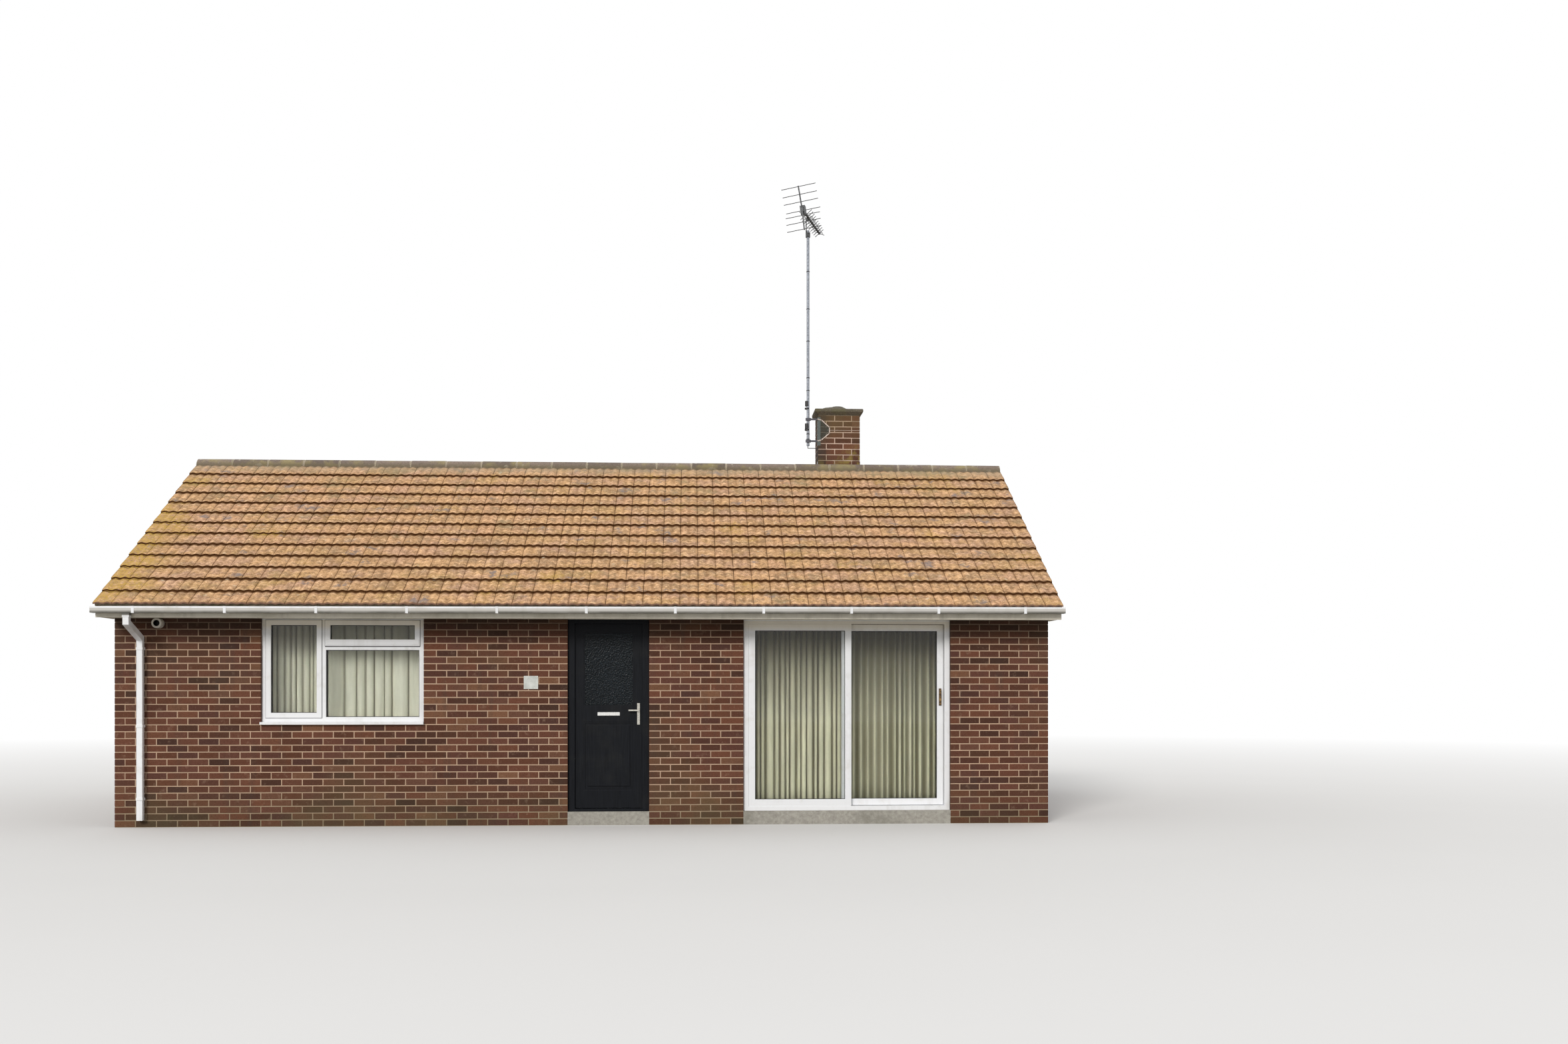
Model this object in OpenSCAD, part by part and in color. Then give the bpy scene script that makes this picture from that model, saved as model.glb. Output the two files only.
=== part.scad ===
// Single-storey brick bungalow with a pitched tile roof, millimetres.
// The origin is at the centre of the base on the ground, the front faces -Y and +Z is up.

/* [House] */
// Width across the outer brick faces
house_w = 10340; // [9800:5:11600]
// Depth across the outer brick faces
house_d = 6400; // [5800:10:7200]
// Thickness of the cavity walls
wall_t = 270; // [240:5:300]
// Height of the floor above the ground
floor_h = 150; // [100:5:200]
// Thickness of the ceiling board
ceiling_t = 15; // [10:1:20]

/* [Openings] */
// Height of every opening's head above the ground
head_h = 2325; // [2000:5:2600]
// Height of the wall over the openings
lintel_h = 175; // [150:5:300]
// Height of the brickwork under a window sill
sill_h = 1125; // [900:5:1300]
// Distance from the brick face back to the frames
reveal = 40; // [20:1:60]
// Gap between a frame's side and the brickwork
fit_gap = 5; // [2:1:10]
// Running clearance round the moving leaves
run_gap = 5; // [4:0.5:8]

/* [Windows] */
// Width of each window frame
window_w = 1770; // [1500:5:1900]
// Width of the wall between a window and the nearest corner of the house
window_side = 1566; // [1200:2:1700]
// Width of the side casement, from frame edge to mullion centre
casement_w = 671; // [560:1:760]
// Height of the top-hung light, from transom centre to frame top
fanlight_h = 348; // [300:1:420]
// Visible width of the outer frame
frame_w = 53; // [45:1:65]
// Depth of the window and door frames
frame_d = 70; // [60:1:80]
// Visible width of a sash
sash_w = 47; // [40:1:55]
// How far a sash stands proud of its frame
sash_proud = 12; // [8:1:16]
// Overlap of a sash's lip on its frame
sash_lap = 9; // [6:1:12]
// Thickness of a sealed glass unit
glass_t = 24; // [18:1:28]
// Height of the sill section
sill_t = 30; // [22:1:40]
// How far the sill projects from the brick face
sill_over = 45; // [30:1:60]

/* [Front door] */
// Width of the door frame
door_w = 900; // [860:5:980]
// Width of the wall between the front door and the patio door
door_side = 1050; // [900:5:1150]
// Distance of the rear door's centre from the house centre
rear_door_x = 0; // [-300:5:300]
// Width of the jambs and head behind the stop
jamb_w = 60; // [50:1:70]
// How far the stop laps over the leaf
stop_lap = 10; // [8:1:14]
// Thickness of the stop
stop_t = 26; // [20:1:30]
// Height of the threshold
threshold_h = 30; // [20:1:40]
// Thickness of the door leaf
leaf_t = 44; // [40:1:54]
// Width of the leaf's stiles and top rail
stile_w = 105; // [90:1:125]
// Height of the middle rail above the threshold
mid_rail_z = 970; // [880:5:1040]
// Height of the middle rail
mid_rail_h = 170; // [140:5:200]
// Height of the bottom rail
bottom_rail_h = 200; // [160:5:230]
// Depth of the recess round the lower panel
panel_recess = 10; // [6:1:12]
// Thickness of the door's glass
door_glass_t = 20; // [16:1:24]
// Radius of the hinge barrels
hinge_r = 7; // [6:0.5:9]
// Length of one hinge
hinge_l = 90; // [75:1:110]

/* [Patio door] */
// Width of the patio door frame
patio_w = 2335; // [2100:5:2400]
// Width of the wall between the patio door and the corner of the house
patio_side = 1110; // [900:5:1200]
// Visible width of the frame's jambs
patio_jamb = 58; // [50:1:66]
// Height of the frame's head
patio_head = 72; // [60:1:84]
// Height of the frame's track sill
patio_sill = 50; // [40:1:60]
// Depth of the frame over both tracks
patio_d = 130; // [122:1:144]
// Thickness of the two leaves
patio_leaf_t = 45; // [40:1:48]
// Width of a leaf's stiles and rails
patio_stile = 72; // [62:1:84]
// How far the two leaves overlap at the middle
meeting_lap = 100; // [80:1:120]
// Height of the handles' lower end above the floor
handle_z = 1180; // [950:5:1250]

/* [Roof] */
// Pitch of both slopes in degrees
pitch = 29; // [26:0.5:31]
// Plan distance from the brick face to the foot of the lowest tiles
eaves_over = 456; // [440:1:490]
// Plan distance from the brick face to the fascia's face
fascia_over = 420; // [395:1:425]
// Thickness of the fascia boards
fascia_t = 18; // [14:1:24]
// Depth of the soffit's underside below the openings' heads
soffit_set = 30; // [20:1:50]
// Thickness of the soffit boards
soffit_t = 9; // [6:1:12]
// How far the fascia drops below the soffit
fascia_drop = 10; // [4:1:16]
// How far the tiles pass the gable walls
verge_over = 67; // [50:1:90]
// Number of tile courses on a slope
courses = 13; // [11:1:15]
// Height of the tiles' noses over the rafters
tile_nose = 70; // [60:1:80]
// Step from one course down to the next
tile_step = 20; // [16:1:24]
// Half width of the ridge tiles
ridge_half = 118; // [105:1:130]
// Height of the ridge tiles over their lower edges
ridge_rise = 92; // [80:1:104]
// Thickness of the ridge tiles
ridge_t = 15; // [12:1:18]
// Plan gap between the heads of the two slopes
ridge_gap = 30; // [20:2:50]
// Thickness of the undercloak strips below the verges
undercloak_t = 8; // [5:1:12]
// Width of a wall plate
plate_w = 100; // [80:1:115]
// Thickness of a wall plate
plate_t = 75; // [50:1:90]
// Height of the rafters' upper edge over the wall's outer top corner
heel_h = 144; // [140:1:160]
// Depth of the rafters, square to the slope
rafter_d = 115; // [105:1:125]
// Depth of the ties and webs of a truss
tie_d = 97; // [80:1:97]
// Thickness of a truss
truss_t = 38; // [35:1:50]
// Spacing of the trusses
truss_pitch = 600; // [500:10:640]

/* [Rainwater] */
// Width of the gutters
gutter_w = 112; // [100:1:120]
// Height of the gutters
gutter_h = 68; // [60:1:76]
// Wall thickness of gutters and pipes
gutter_t = 3; // [2:0.5:4]
// Depth of a gutter's rim below the top of the fascia at mid length
gutter_set = 3; // [0:1:8]
// Fall of a gutter over its length
gutter_fall = 20; // [0:1:25]
// Spacing of the gutter brackets
bracket_pitch = 980; // [800:10:1100]
// Distance of the first gutter bracket from the corner of the house
bracket_side = 370; // [340:5:600]
// Side of the square downpipes
pipe_w = 65; // [60:1:70]
// Distance of a downpipe's centre from the corner of the house
pipe_side = 290; // [200:5:310]
// Gap between a downpipe and the brick face
pipe_stand = 22; // [15:1:30]
// Depth of the swan neck's upper bend below the soffit
neck_set = 70; // [60:5:95]
// Depth of the swan neck's lower bend below the soffit
neck_drop = 225; // [200:5:300]
// Height of a downpipe's open lower end above the ground
pipe_foot = 80; // [50:5:150]

/* [Chimney] */
// Width of the chimney stack
stack_w = 554; // [440:1:680]
// Depth of the chimney stack
stack_d = 440; // [340:5:560]
// Distance of the stack's centre from the right corner of the house
stack_side = 2064; // [2020:1:2220]
// Distance of the stack's front face behind the ridge line
stack_y = 140; // [135:1:200]
// Height of the stack's brickwork above the ridge tiles
stack_rise = 670; // [500:5:900]
// Overhang of the cap
cap_over = 47; // [35:1:60]
// Height of the cap
cap_h = 86; // [70:1:100]
// Height of the mortar mound on the cap
mound_h = 65; // [40:1:90]

/* [Aerial] */
// Diameter of the mast
mast_d = 38; // [32:1:44]
// Length of the mast
mast_l = 2880; // [2000:10:3200]
// Depth of the mast's foot below the top of the stack's brickwork
mast_drop = 403; // [380:1:450]
// Depth of the lower bracket arm below the top of the stack's brickwork
arm_drop = 342; // [300:1:360]
// Depth of the upper bracket arm below the top of the stack's brickwork
arm_top_drop = 54; // [45:1:90]
// Distance of the mast's centre left of the stack's side
mast_off = 133; // [110:1:160]
// Length of the aerial's boom
boom_l = 1150; // [1000:10:1500]
// Distance along the boom from the reflector to the mast
boom_clamp = 480; // [400:5:600]
// Distance of the boom to the right of the mast's centre
boom_side = 20; // [0:1:24]
// Side of the square boom
boom_w = 20; // [16:1:24]
// Turn of the boom from the rear direction in degrees
boom_turn = 16; // [0:1:30]
// Roll of the boom about its own length in degrees
boom_roll = 8; // [0:1:12]
// Height of the boom over the mast's top
boom_lift = 150; // [100:5:200]
// Diameter of the aerial's rods
rod_d = 9; // [7:1:12]
// Length of the reflector's rods
rod_l = 460; // [350:5:520]
// Length of each of the reflector's two bars
reflector_l = 295; // [250:5:330]
// Length of the nearest directors' rods
director_l = 200; // [150:5:240]
// Side of the aerial's cable
cable_w = 8; // [6:1:10]

/* [Fittings] */
// Outer diameter of the flue terminal
flue_d = 108; // [100:1:114]
// Bore of the flue terminal
flue_bore = 66; // [55:1:75]
// How far the flue terminal stands out of the wall
flue_l = 110; // [80:1:140]
// Distance of the flue terminal's centre from the left corner of the house
flue_side = 480; // [460:1:600]
// Side of the wall plaque
plaque_w = 160; // [120:1:170]
// Distance of the plaque's centre from the front door's opening
plaque_side = 402; // [200:1:700]
// Height of the plaque's centre
plaque_z = 1591; // [1400:1:1700]
// Thickness of the plaque
plaque_t = 8; // [5:1:12]
// Depth that a hanging curtain takes up
curtain_t = 60; // [50:1:70]
// How far a curtain passes the sides of its window
curtain_over = 90; // [60:5:120]

/* [Hidden] */

hw = house_w / 2;
hd = house_d / 2;
wall_h = head_h + lintel_h;
soffit_z = head_h - soffit_set;
in_x = hw - wall_t;
in_y = hd - wall_t;
far = 20000;
// Gap that keeps sloping faces from overlapping
seat = 0.05;

// Roof plane: the upper edge of the rafters
plate_top = wall_h + plate_t;
plate_y = in_y + plate_w;
roof_x = hw + verge_over;
nose_y = hd + eaves_over;
function roof_z(y) = wall_h + heel_h + (hd - abs(y)) * tan(pitch);
rafter_v = rafter_d / cos(pitch);
// A point of the front slope: s up the slope from the eaves, t square to it
function slope_pt(s, t) = [
    -nose_y + s * cos(pitch) - t * sin(pitch),
    roof_z(nose_y) + s * sin(pitch) + t * cos(pitch)];
function slope_s(y, t) = (y + nose_y + t * sin(pitch)) / cos(pitch);
gauge = slope_s(-ridge_half, tile_nose - tile_step) / courses;
function tile_t(s, i) = tile_nose - tile_step * (s - i * gauge) / gauge;
last_t = tile_t(slope_s(-ridge_gap / 2, 0), courses - 1);
// Upper surface of the highest course, as a height at y
top_a = slope_pt((courses - 1) * gauge, tile_nose);
top_b = slope_pt(slope_s(-ridge_gap / 2, last_t), last_t);
function top_z(y) = top_b[1] + (-abs(y) - top_b[0]) * (top_b[1] - top_a[1]) / (top_b[0] - top_a[0]);
ridge_r = (ridge_half * ridge_half + ridge_rise * ridge_rise) / (2 * ridge_rise);
ridge_c = top_z(ridge_half) + ridge_rise - ridge_r;
ridge_top = ridge_c + ridge_r;

// Openings
frame_y = hd - reveal;
patio_x = hw - patio_side - fit_gap - patio_w / 2;
door_x = patio_x - patio_w / 2 - door_side - 2 * fit_gap - door_w / 2;
window_x = hw - window_side - fit_gap - window_w / 2;
flue_x = hw - flue_side;
plaque_x = door_x - door_w / 2 - fit_gap - plaque_side;
sill_top = sill_h + sill_t;
glass_y = frame_y - (frame_d - glass_t) / 2;
patio_z = floor_h + patio_sill;
patio_top = head_h - patio_head;
patio_in = patio_w / 2 - patio_jamb;
// The fixed leaf stands in the front track and the sliding leaf in the rear one
track_set = [6, 12];
patio_front_y = frame_y - track_set[0];
patio_rear_y = frame_y - patio_d + track_set[1] + patio_leaf_t;
patio_leaf_w = patio_in + meeting_lap / 2;
rail_z = (head_h + wall_h) / 2;
rail_t = 30;
curtain_y = in_y - 25;
// How far a window's curtains hang below the sill, and the patio door's end above the floor
curtain_drop = 90;
curtain_gap = 15;

// Door leaf, seen from the front with the hinges on the left
leaf_side = jamb_w + run_gap;
leaf_w = door_w - 2 * leaf_side;
leaf_z = floor_h + threshold_h + run_gap;
leaf_top = head_h - jamb_w - run_gap;
leaf_y = frame_y - stop_t - run_gap;
leaf_back = leaf_y - leaf_t;
pane_z = leaf_z + mid_rail_z + mid_rail_h;
pane_top = leaf_top - stile_w;
pane_w = leaf_w - 2 * stile_w;
hinge_x = -door_w / 2 + jamb_w + run_gap / 2;
hinge_gap = 0.3;
hinge_y = leaf_back - hinge_r - hinge_gap;
hinge_pin = 4;
hinge_fit = 0.06;
hinge_in = 150;
hinge_zs = [leaf_z + hinge_in, (leaf_z + leaf_top) / 2, leaf_top - hinge_in - hinge_l];

// Rainwater goods
fascia_y = hd + fascia_over;
gutter_gap = 4;
gutter_y = fascia_y + gutter_gap;
gutter_z = roof_z(fascia_y) - gutter_set;
verge_in = 10;
gutter_half = roof_x + verge_in;
fall = atan(gutter_fall / (2 * gutter_half));
function rim_z(x) = gutter_z + x * tan(fall);
outlet_h = 45;
pipe_x = hw - pipe_side;
neck_top = soffit_z - neck_set;
neck_foot = soffit_z - neck_drop;
pipe_out = gutter_y + gutter_w / 2;
pipe_in = hd + pipe_stand + pipe_w / 2;

// Chimney and aerial
stack_x = hw - stack_side;
stack_top = ridge_top + stack_rise;
stack_back = stack_y + stack_d;
mast_x = stack_x - stack_w / 2 - mast_off;
mast_in = 45;
mast_y = stack_y + mast_in;
mast_foot = stack_top - mast_drop;
mast_top = mast_foot + mast_l;
mast_fit = 0.1;
arm_zs = [stack_top - arm_drop, stack_top - arm_top_drop];
tie_z = stack_top - (arm_drop + arm_top_drop) / 2;
plate_lo = arm_zs[0] - 60;
plate_hi = arm_zs[1] + 30;
clamp_t = 8;

module block(lo, hi) {
    translate(lo) cube(hi - lo);
}

// Sweeps a (Y, Z) outline along X
module along_x(x0, x1) {
    translate([x0, 0, 0]) rotate([90, 0, 90]) linear_extrude(x1 - x0) children();
}

module both_sides() {
    children();
    mirror([0, 1, 0]) children();
}

// Turns a piece of the front into the same piece of the rear
module rear() {
    rotate([0, 0, 180]) children();
}

module slab(lo, hi) {
    polygon([[lo[0], lo[1]], [hi[0], lo[1]], [hi[0], hi[1]], [lo[0], hi[1]]]);
}

// Mitred outline of a bar of half width h along the points p
function unit(v) = v / norm(v);
function left(v) = [-v[1], v[0]];
function mitre(p, i) =
    let (a = i > 0 ? unit(p[i] - p[i - 1]) : unit(p[1] - p[0]),
         b = i < len(p) - 1 ? unit(p[i + 1] - p[i]) : a,
         n = unit(left(a) + left(b)))
    n / (n * left(a));
function bar(p, h) = concat(
    [for (i = [0 : len(p) - 1]) p[i] + h * mitre(p, i)],
    [for (i = [len(p) - 1 : -1 : 0]) p[i] - h * mitre(p, i)]);

// Walls, floor and ceiling

// Step under a door of width w at x
module step(x, w) {
    block([x - w / 2 - fit_gap, -hd, 0], [x + w / 2 + fit_gap, -in_y + 1, floor_h]);
}

module floor_slab() color("silver") {
    block([-in_x, -in_y, 0], [in_x, in_y, floor_h]);
    step(door_x, door_w);
    step(patio_x, patio_w);
    rear() step(rear_door_x, door_w);
}

module window_hole(x) {
    block([x - window_w / 2 - fit_gap, -hd - 1, sill_h], [x + window_w / 2 + fit_gap, -in_y + 1, head_h]);
}

module front_wall_left() color("brown") {
    difference() {
        block([-hw, -hd, 0], [door_x - door_w / 2 - fit_gap, -in_y, head_h]);
        window_hole(-window_x);
    }
}

module front_wall_middle() color("brown") {
    block([door_x + door_w / 2 + fit_gap, -hd, 0], [patio_x - patio_w / 2 - fit_gap, -in_y, head_h]);
}

module front_wall_right() color("brown") {
    block([patio_x + patio_w / 2 + fit_gap, -hd, 0], [hw, -in_y, head_h]);
}

module front_wall_top() color("brown") block([-hw, -hd, head_h], [hw, -in_y, wall_h]);

module rear_wall() color("brown") rear() {
    difference() {
        block([-hw, -hd, 0], [hw, -in_y, wall_h]);
        window_hole(-window_x);
        window_hole(window_x);
        block([rear_door_x - door_w / 2 - fit_gap, -hd - 1, -1],
            [rear_door_x + door_w / 2 + fit_gap, -in_y + 1, head_h]);
    }
}

module gable(x) {
    along_x(x, x + wall_t) polygon([
        [-in_y, 0], [in_y, 0], [in_y, wall_h], [hd, wall_h], [hd, roof_z(hd)],
        [0, roof_z(0)], [-hd, roof_z(hd)], [-hd, wall_h], [-in_y, wall_h]]);
}

module left_gable() color("brown") gable(-hw);

module right_gable() color("brown") gable(in_x);

module ceiling() color("white") {
    difference() {
        block([-in_x, -in_y, plate_top - ceiling_t], [in_x, in_y, plate_top]);
        stack_block(0, far);
    }
}

// Roof

module plate() {
    block([-in_x, -plate_y, wall_h], [in_x, -plate_y + plate_w, plate_top]);
}

module wall_plates() color("burlywood") both_sides() plate();

module truss_outline() {
    web = tie_d / 2;
    foot = plate_top + web + 10;
    tail_y = fascia_y - fascia_t;
    intersection() {
        union() {
            for (m = [0, 1]) mirror([m, 0]) {
                polygon([[-nose_y, roof_z(nose_y)], [0, roof_z(0)],
                    [0, roof_z(0) - rafter_v], [-nose_y, roof_z(nose_y) - rafter_v]]);
                polygon(bar([[-in_y / 2, roof_z(in_y / 2) - web], [-in_y / 3, foot], [0, roof_z(0) - 2 * web]],
                    web / 2));
            }
            slab([-plate_y, plate_top], [plate_y, plate_top + tie_d]);
        }
        polygon([[-tail_y, soffit_z + soffit_t + 2], [-tail_y, roof_z(tail_y)], [0, roof_z(0)],
            [tail_y, roof_z(tail_y)], [tail_y, soffit_z + soffit_t + 2]]);
    }
}

module roof_trusses() color("burlywood") {
    count = floor((in_x - truss_t) / truss_pitch);
    for (i = [-count : count])
        if (abs(i * truss_pitch - stack_x) > (stack_w + truss_t) / 2)
            along_x(i * truss_pitch - truss_t / 2, i * truss_pitch + truss_t / 2) truss_outline();
}

module tile_slope() {
    foot_s = slope_s(-fascia_y + fascia_t / 2, 0);
    under = tile_nose - tile_step;
    along_x(-roof_x, roof_x) polygon(concat(
        [slope_pt(foot_s, seat), slope_pt(foot_s, under), slope_pt(0, under)],
        [for (i = [0 : courses - 1], e = [0, 1])
            e == 0 ? slope_pt(i * gauge, tile_nose)
            : i < courses - 1 ? slope_pt((i + 1) * gauge, tile_nose - tile_step)
            : top_b],
        [slope_pt(slope_s(-ridge_gap / 2, seat), seat)]));
}

module front_roof_tiles() color("peru") tile_slope();

module rear_roof_tiles() color("peru") {
    difference() {
        mirror([0, 1, 0]) tile_slope();
        stack_block(0, far);
    }
}

// Everything below the highest tiles
module under_tiles() {
    polygon([[-far, top_z(far) + seat], [0, top_z(0) + seat], [far, top_z(far) + seat],
        [far, -far], [-far, -far]]);
}

module ridge_tiles() color("dimgray") {
    along_x(-roof_x, roof_x) difference() {
        translate([0, ridge_c]) circle(r = ridge_r, $fn = 96);
        translate([0, ridge_c]) circle(r = ridge_r - ridge_t, $fn = 96);
        under_tiles();
    }
}

module undercloak() {
    v = undercloak_t / cos(pitch);
    along_x(hw, roof_x - verge_in) polygon([
        [-fascia_y, roof_z(fascia_y)], [-fascia_y, roof_z(fascia_y) - v],
        [-ridge_gap / 2, roof_z(ridge_gap / 2) - v], [-ridge_gap / 2, roof_z(ridge_gap / 2)]]);
}

module verge_undercloaks() color("lightgray") {
    for (m = [0, 1]) mirror([m, 0, 0]) both_sides() undercloak();
}

// Boxed eaves

module fascia_outline() {
    polygon([
        [-fascia_y, soffit_z - fascia_drop], [-fascia_y + fascia_t, soffit_z - fascia_drop],
        [-fascia_y + fascia_t, roof_z(fascia_y - fascia_t)], [-fascia_y, roof_z(fascia_y)]]);
}

module fascia() {
    along_x(-roof_x + verge_in, roof_x - verge_in) fascia_outline();
    // Returns that close the ends of the boxed eaves
    back = fascia_y - fascia_t / 2;
    for (m = [0, 1]) mirror([m, 0, 0]) along_x(hw, hw + fascia_t) polygon([
        [-back, soffit_z - fascia_drop], [-hd, soffit_z - fascia_drop],
        [-hd, roof_z(hd)], [-back, roof_z(back)]]);
}

module fascias() color("gainsboro") both_sides() difference() {
    fascia();
    for (m = [0, 1]) mirror([m, 0, 0]) undercloak();
}

// Tongue of the soffit that reaches a frame of width w at x
module soffit_tongue(x, w) {
    block([x - w / 2 - fit_gap, -hd - 1, soffit_z], [x + w / 2 + fit_gap, -frame_y, soffit_z + soffit_t]);
}

module soffit() {
    block([-hw, -fascia_y + fascia_t, soffit_z], [hw, -hd, soffit_z + soffit_t]);
}

module soffits() color("whitesmoke") {
    soffit();
    soffit_tongue(-window_x, window_w);
    soffit_tongue(door_x, door_w);
    soffit_tongue(patio_x, patio_w);
    rear() {
        soffit();
        soffit_tongue(-window_x, window_w);
        soffit_tongue(window_x, window_w);
        soffit_tongue(rear_door_x, door_w);
    }
}

// Rainwater goods

module gutter_shell(l, w, h, t) {
    difference() {
        block([-l, -w, -h], [l, 0, 0]);
        block([-l + t, -w + t, -h + t], [l - t, -t, 1]);
    }
}

module outlet_box(w, lo, hi) {
    translate([-pipe_x, -gutter_w / 2, 0]) block([-w / 2, -w / 2, lo], [w / 2, w / 2, hi]);
}

module gutter() {
    translate([0, -gutter_y, gutter_z]) rotate([0, -fall, 0]) difference() {
        union() {
            gutter_shell(gutter_half, gutter_w, gutter_h, gutter_t);
            outlet_box(pipe_w + 10, -gutter_h - outlet_h, -gutter_h + gutter_t / 2);
        }
        outlet_box(pipe_w - 8, -gutter_h - outlet_h - 1, -gutter_h + gutter_t + 1);
        outlet_box(pipe_w + 1, -gutter_h - outlet_h - 1, -gutter_h - 12);
    }
}

module gutters() color("white") {
    gutter();
    rear() gutter();
}

module gutter_bracket(x) {
    gap = 0.6;
    t = gutter_gap - gap;
    half = 15;
    lip = 2;
    translate([x, -gutter_y, rim_z(x)]) difference() {
        block([-half, -gutter_w - gap - t, -gutter_h - gap - t], [half, gutter_gap, lip]);
        block([-half - 1, -gutter_w - gap, -gutter_h - gap], [half + 1, gap, lip + 1]);
    }
}

module gutter_run() {
    run = house_w - 2 * bracket_side;
    gaps = round(run / bracket_pitch);
    for (i = [0 : gaps]) gutter_bracket(-run / 2 + i * run / gaps);
}

module gutter_brackets() color("white") {
    gutter_run();
    rear() gutter_run();
}

module downpipe() {
    top = rim_z(-pipe_x) - gutter_h - 14;
    clip_t = 4;
    clip_h = 28;
    route = [[-pipe_out, top], [-pipe_out, neck_top], [-pipe_in, neck_foot], [-pipe_in, pipe_foot]];
    inner = [[-pipe_out, top + 1], [-pipe_out, neck_top], [-pipe_in, neck_foot], [-pipe_in, pipe_foot - 1]];
    difference() {
        union() {
            along_x(-pipe_x - pipe_w / 2, -pipe_x + pipe_w / 2) polygon(bar(route, pipe_w / 2));
            for (z = [0.145, 0.53, 0.94] * neck_foot)
                block([-pipe_x - pipe_w / 2 - clip_t, -pipe_in - pipe_w / 2 - clip_t, z],
                    [-pipe_x + pipe_w / 2 + clip_t, -hd, z + clip_h]);
        }
        along_x(-pipe_x - pipe_w / 2 + gutter_t, -pipe_x + pipe_w / 2 - gutter_t)
            polygon(bar(inner, pipe_w / 2 - gutter_t));
    }
}

module downpipes() color("white") {
    downpipe();
    rear() downpipe();
}

// Windows

mullion_x = -window_w / 2 + casement_w;
transom_z = head_h - fanlight_h;
light_side = frame_w / 2;

// The three lights of a window as [left, right, bottom, top] of the frame's openings
function lights() = [
    [-window_w / 2 + frame_w, mullion_x - light_side, sill_top + frame_w, head_h - frame_w],
    [mullion_x + light_side, window_w / 2 - frame_w, transom_z + light_side, head_h - frame_w],
    [mullion_x + light_side, window_w / 2 - frame_w, sill_top + frame_w, transom_z - light_side]];

module light_block(l, grow, y0, y1) {
    block([l[0] - grow, -y0, l[2] - grow], [l[1] + grow, -y1, l[3] + grow]);
}

module window_frame() {
    difference() {
        block([-window_w / 2, -frame_y, sill_top], [window_w / 2, -frame_y + frame_d, head_h]);
        for (l = lights()) light_block(l, 0, frame_y + 1, frame_y - frame_d - 1);
    }
}

module sash(l) {
    difference() {
        union() {
            light_block(l, 0, frame_y, frame_y - frame_d);
            light_block(l, sash_lap, frame_y + sash_proud, frame_y);
        }
        light_block(l, -sash_w, frame_y + frame_d, frame_y - 2 * frame_d);
    }
}

module window_pane(l, grow) {
    light_block(l, grow, glass_y, glass_y - glass_t);
}

module panes() {
    window_pane(lights()[0], -sash_w);
    window_pane(lights()[1], -sash_w);
    window_pane(lights()[2], 0);
}

module at_windows() {
    translate([-window_x, 0, 0]) children();
    rear() {
        translate([-window_x, 0, 0]) children();
        translate([window_x, 0, 0]) children();
    }
}

module window_frames() color("white") at_windows() window_frame();

module window_sashes() color("white") at_windows() {
    sash(lights()[0]);
    sash(lights()[1]);
}

module window_sill() {
    block([-window_w / 2 - fit_gap, -hd - sill_over, sill_h],
        [window_w / 2 + fit_gap, -frame_y + frame_d, sill_top]);
}

module window_sills() color("white") at_windows() window_sill();

module fixed_glass() color("lightblue") {
    at_windows() panes();
    patio_pane(-patio_in, -patio_in + patio_leaf_w, patio_front_y);
    rear() translate([rear_door_x, 0, 0]) door_pane();
}

// Curtains and their rails

module rail(x, w) {
    block([x - w / 2 - curtain_over, -in_y, rail_z - rail_t / 2],
        [x + w / 2 + curtain_over, -curtain_y + curtain_t, rail_z + rail_t / 2]);
}

module curtain(x, w, foot) {
    block([x - w / 2 - curtain_over, -curtain_y, foot],
        [x + w / 2 + curtain_over, -curtain_y + curtain_t, rail_z - rail_t / 2]);
}

module curtain_rails() color("white") {
    at_windows() rail(0, window_w);
    rail(patio_x, patio_w);
}

module curtains() color("beige") {
    at_windows() curtain(0, window_w, sill_h - curtain_drop);
    curtain(patio_x, patio_w, floor_h + curtain_gap);
}

// Hinged doors

module door_frame_at() {
    difference() {
        block([-door_w / 2, -frame_y, floor_h], [door_w / 2, -frame_y + frame_d, head_h]);
        block([-door_w / 2 + jamb_w, -frame_y + stop_t, floor_h + threshold_h],
            [door_w / 2 - jamb_w, -frame_y + frame_d + 1, head_h - jamb_w]);
        block([-door_w / 2 + leaf_side + stop_lap, -frame_y - 1, floor_h + threshold_h],
            [door_w / 2 - leaf_side - stop_lap, -frame_y + frame_d, head_h - leaf_side - stop_lap]);
    }
}

module leaf_block(x0, x1, y0, y1, z0, z1) {
    block([x0, -y0, z0], [x1, -y1, z1]);
}

module door_leaf() {
    side = leaf_w / 2 - stile_w;
    panel_z = leaf_z + bottom_rail_h;
    panel_top = leaf_z + mid_rail_z;
    border = 45;
    difference() {
        leaf_block(-leaf_w / 2, leaf_w / 2, leaf_y, leaf_back, leaf_z, leaf_top);
        leaf_block(-side, side, leaf_y + 1, leaf_back - 1, pane_z, pane_top);
        for (face = [[leaf_y + 1, leaf_y - panel_recess], [leaf_back + panel_recess, leaf_back - 1]])
            difference() {
                leaf_block(-side, side, face[0], face[1], panel_z, panel_top);
                leaf_block(-side + border, side - border, face[0] + 1, face[1] - 1,
                    panel_z + border, panel_top - border);
            }
    }
}

module door_pane() {
    mid = (leaf_y + leaf_back) / 2;
    leaf_block(-pane_w / 2, pane_w / 2, mid + door_glass_t / 2, mid - door_glass_t / 2, pane_z, pane_top);
}

module door_frame() color("#10141f") {
    translate([door_x, 0, 0]) door_frame_at();
    rear() translate([rear_door_x, 0, 0]) door_frame_at();
}

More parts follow.
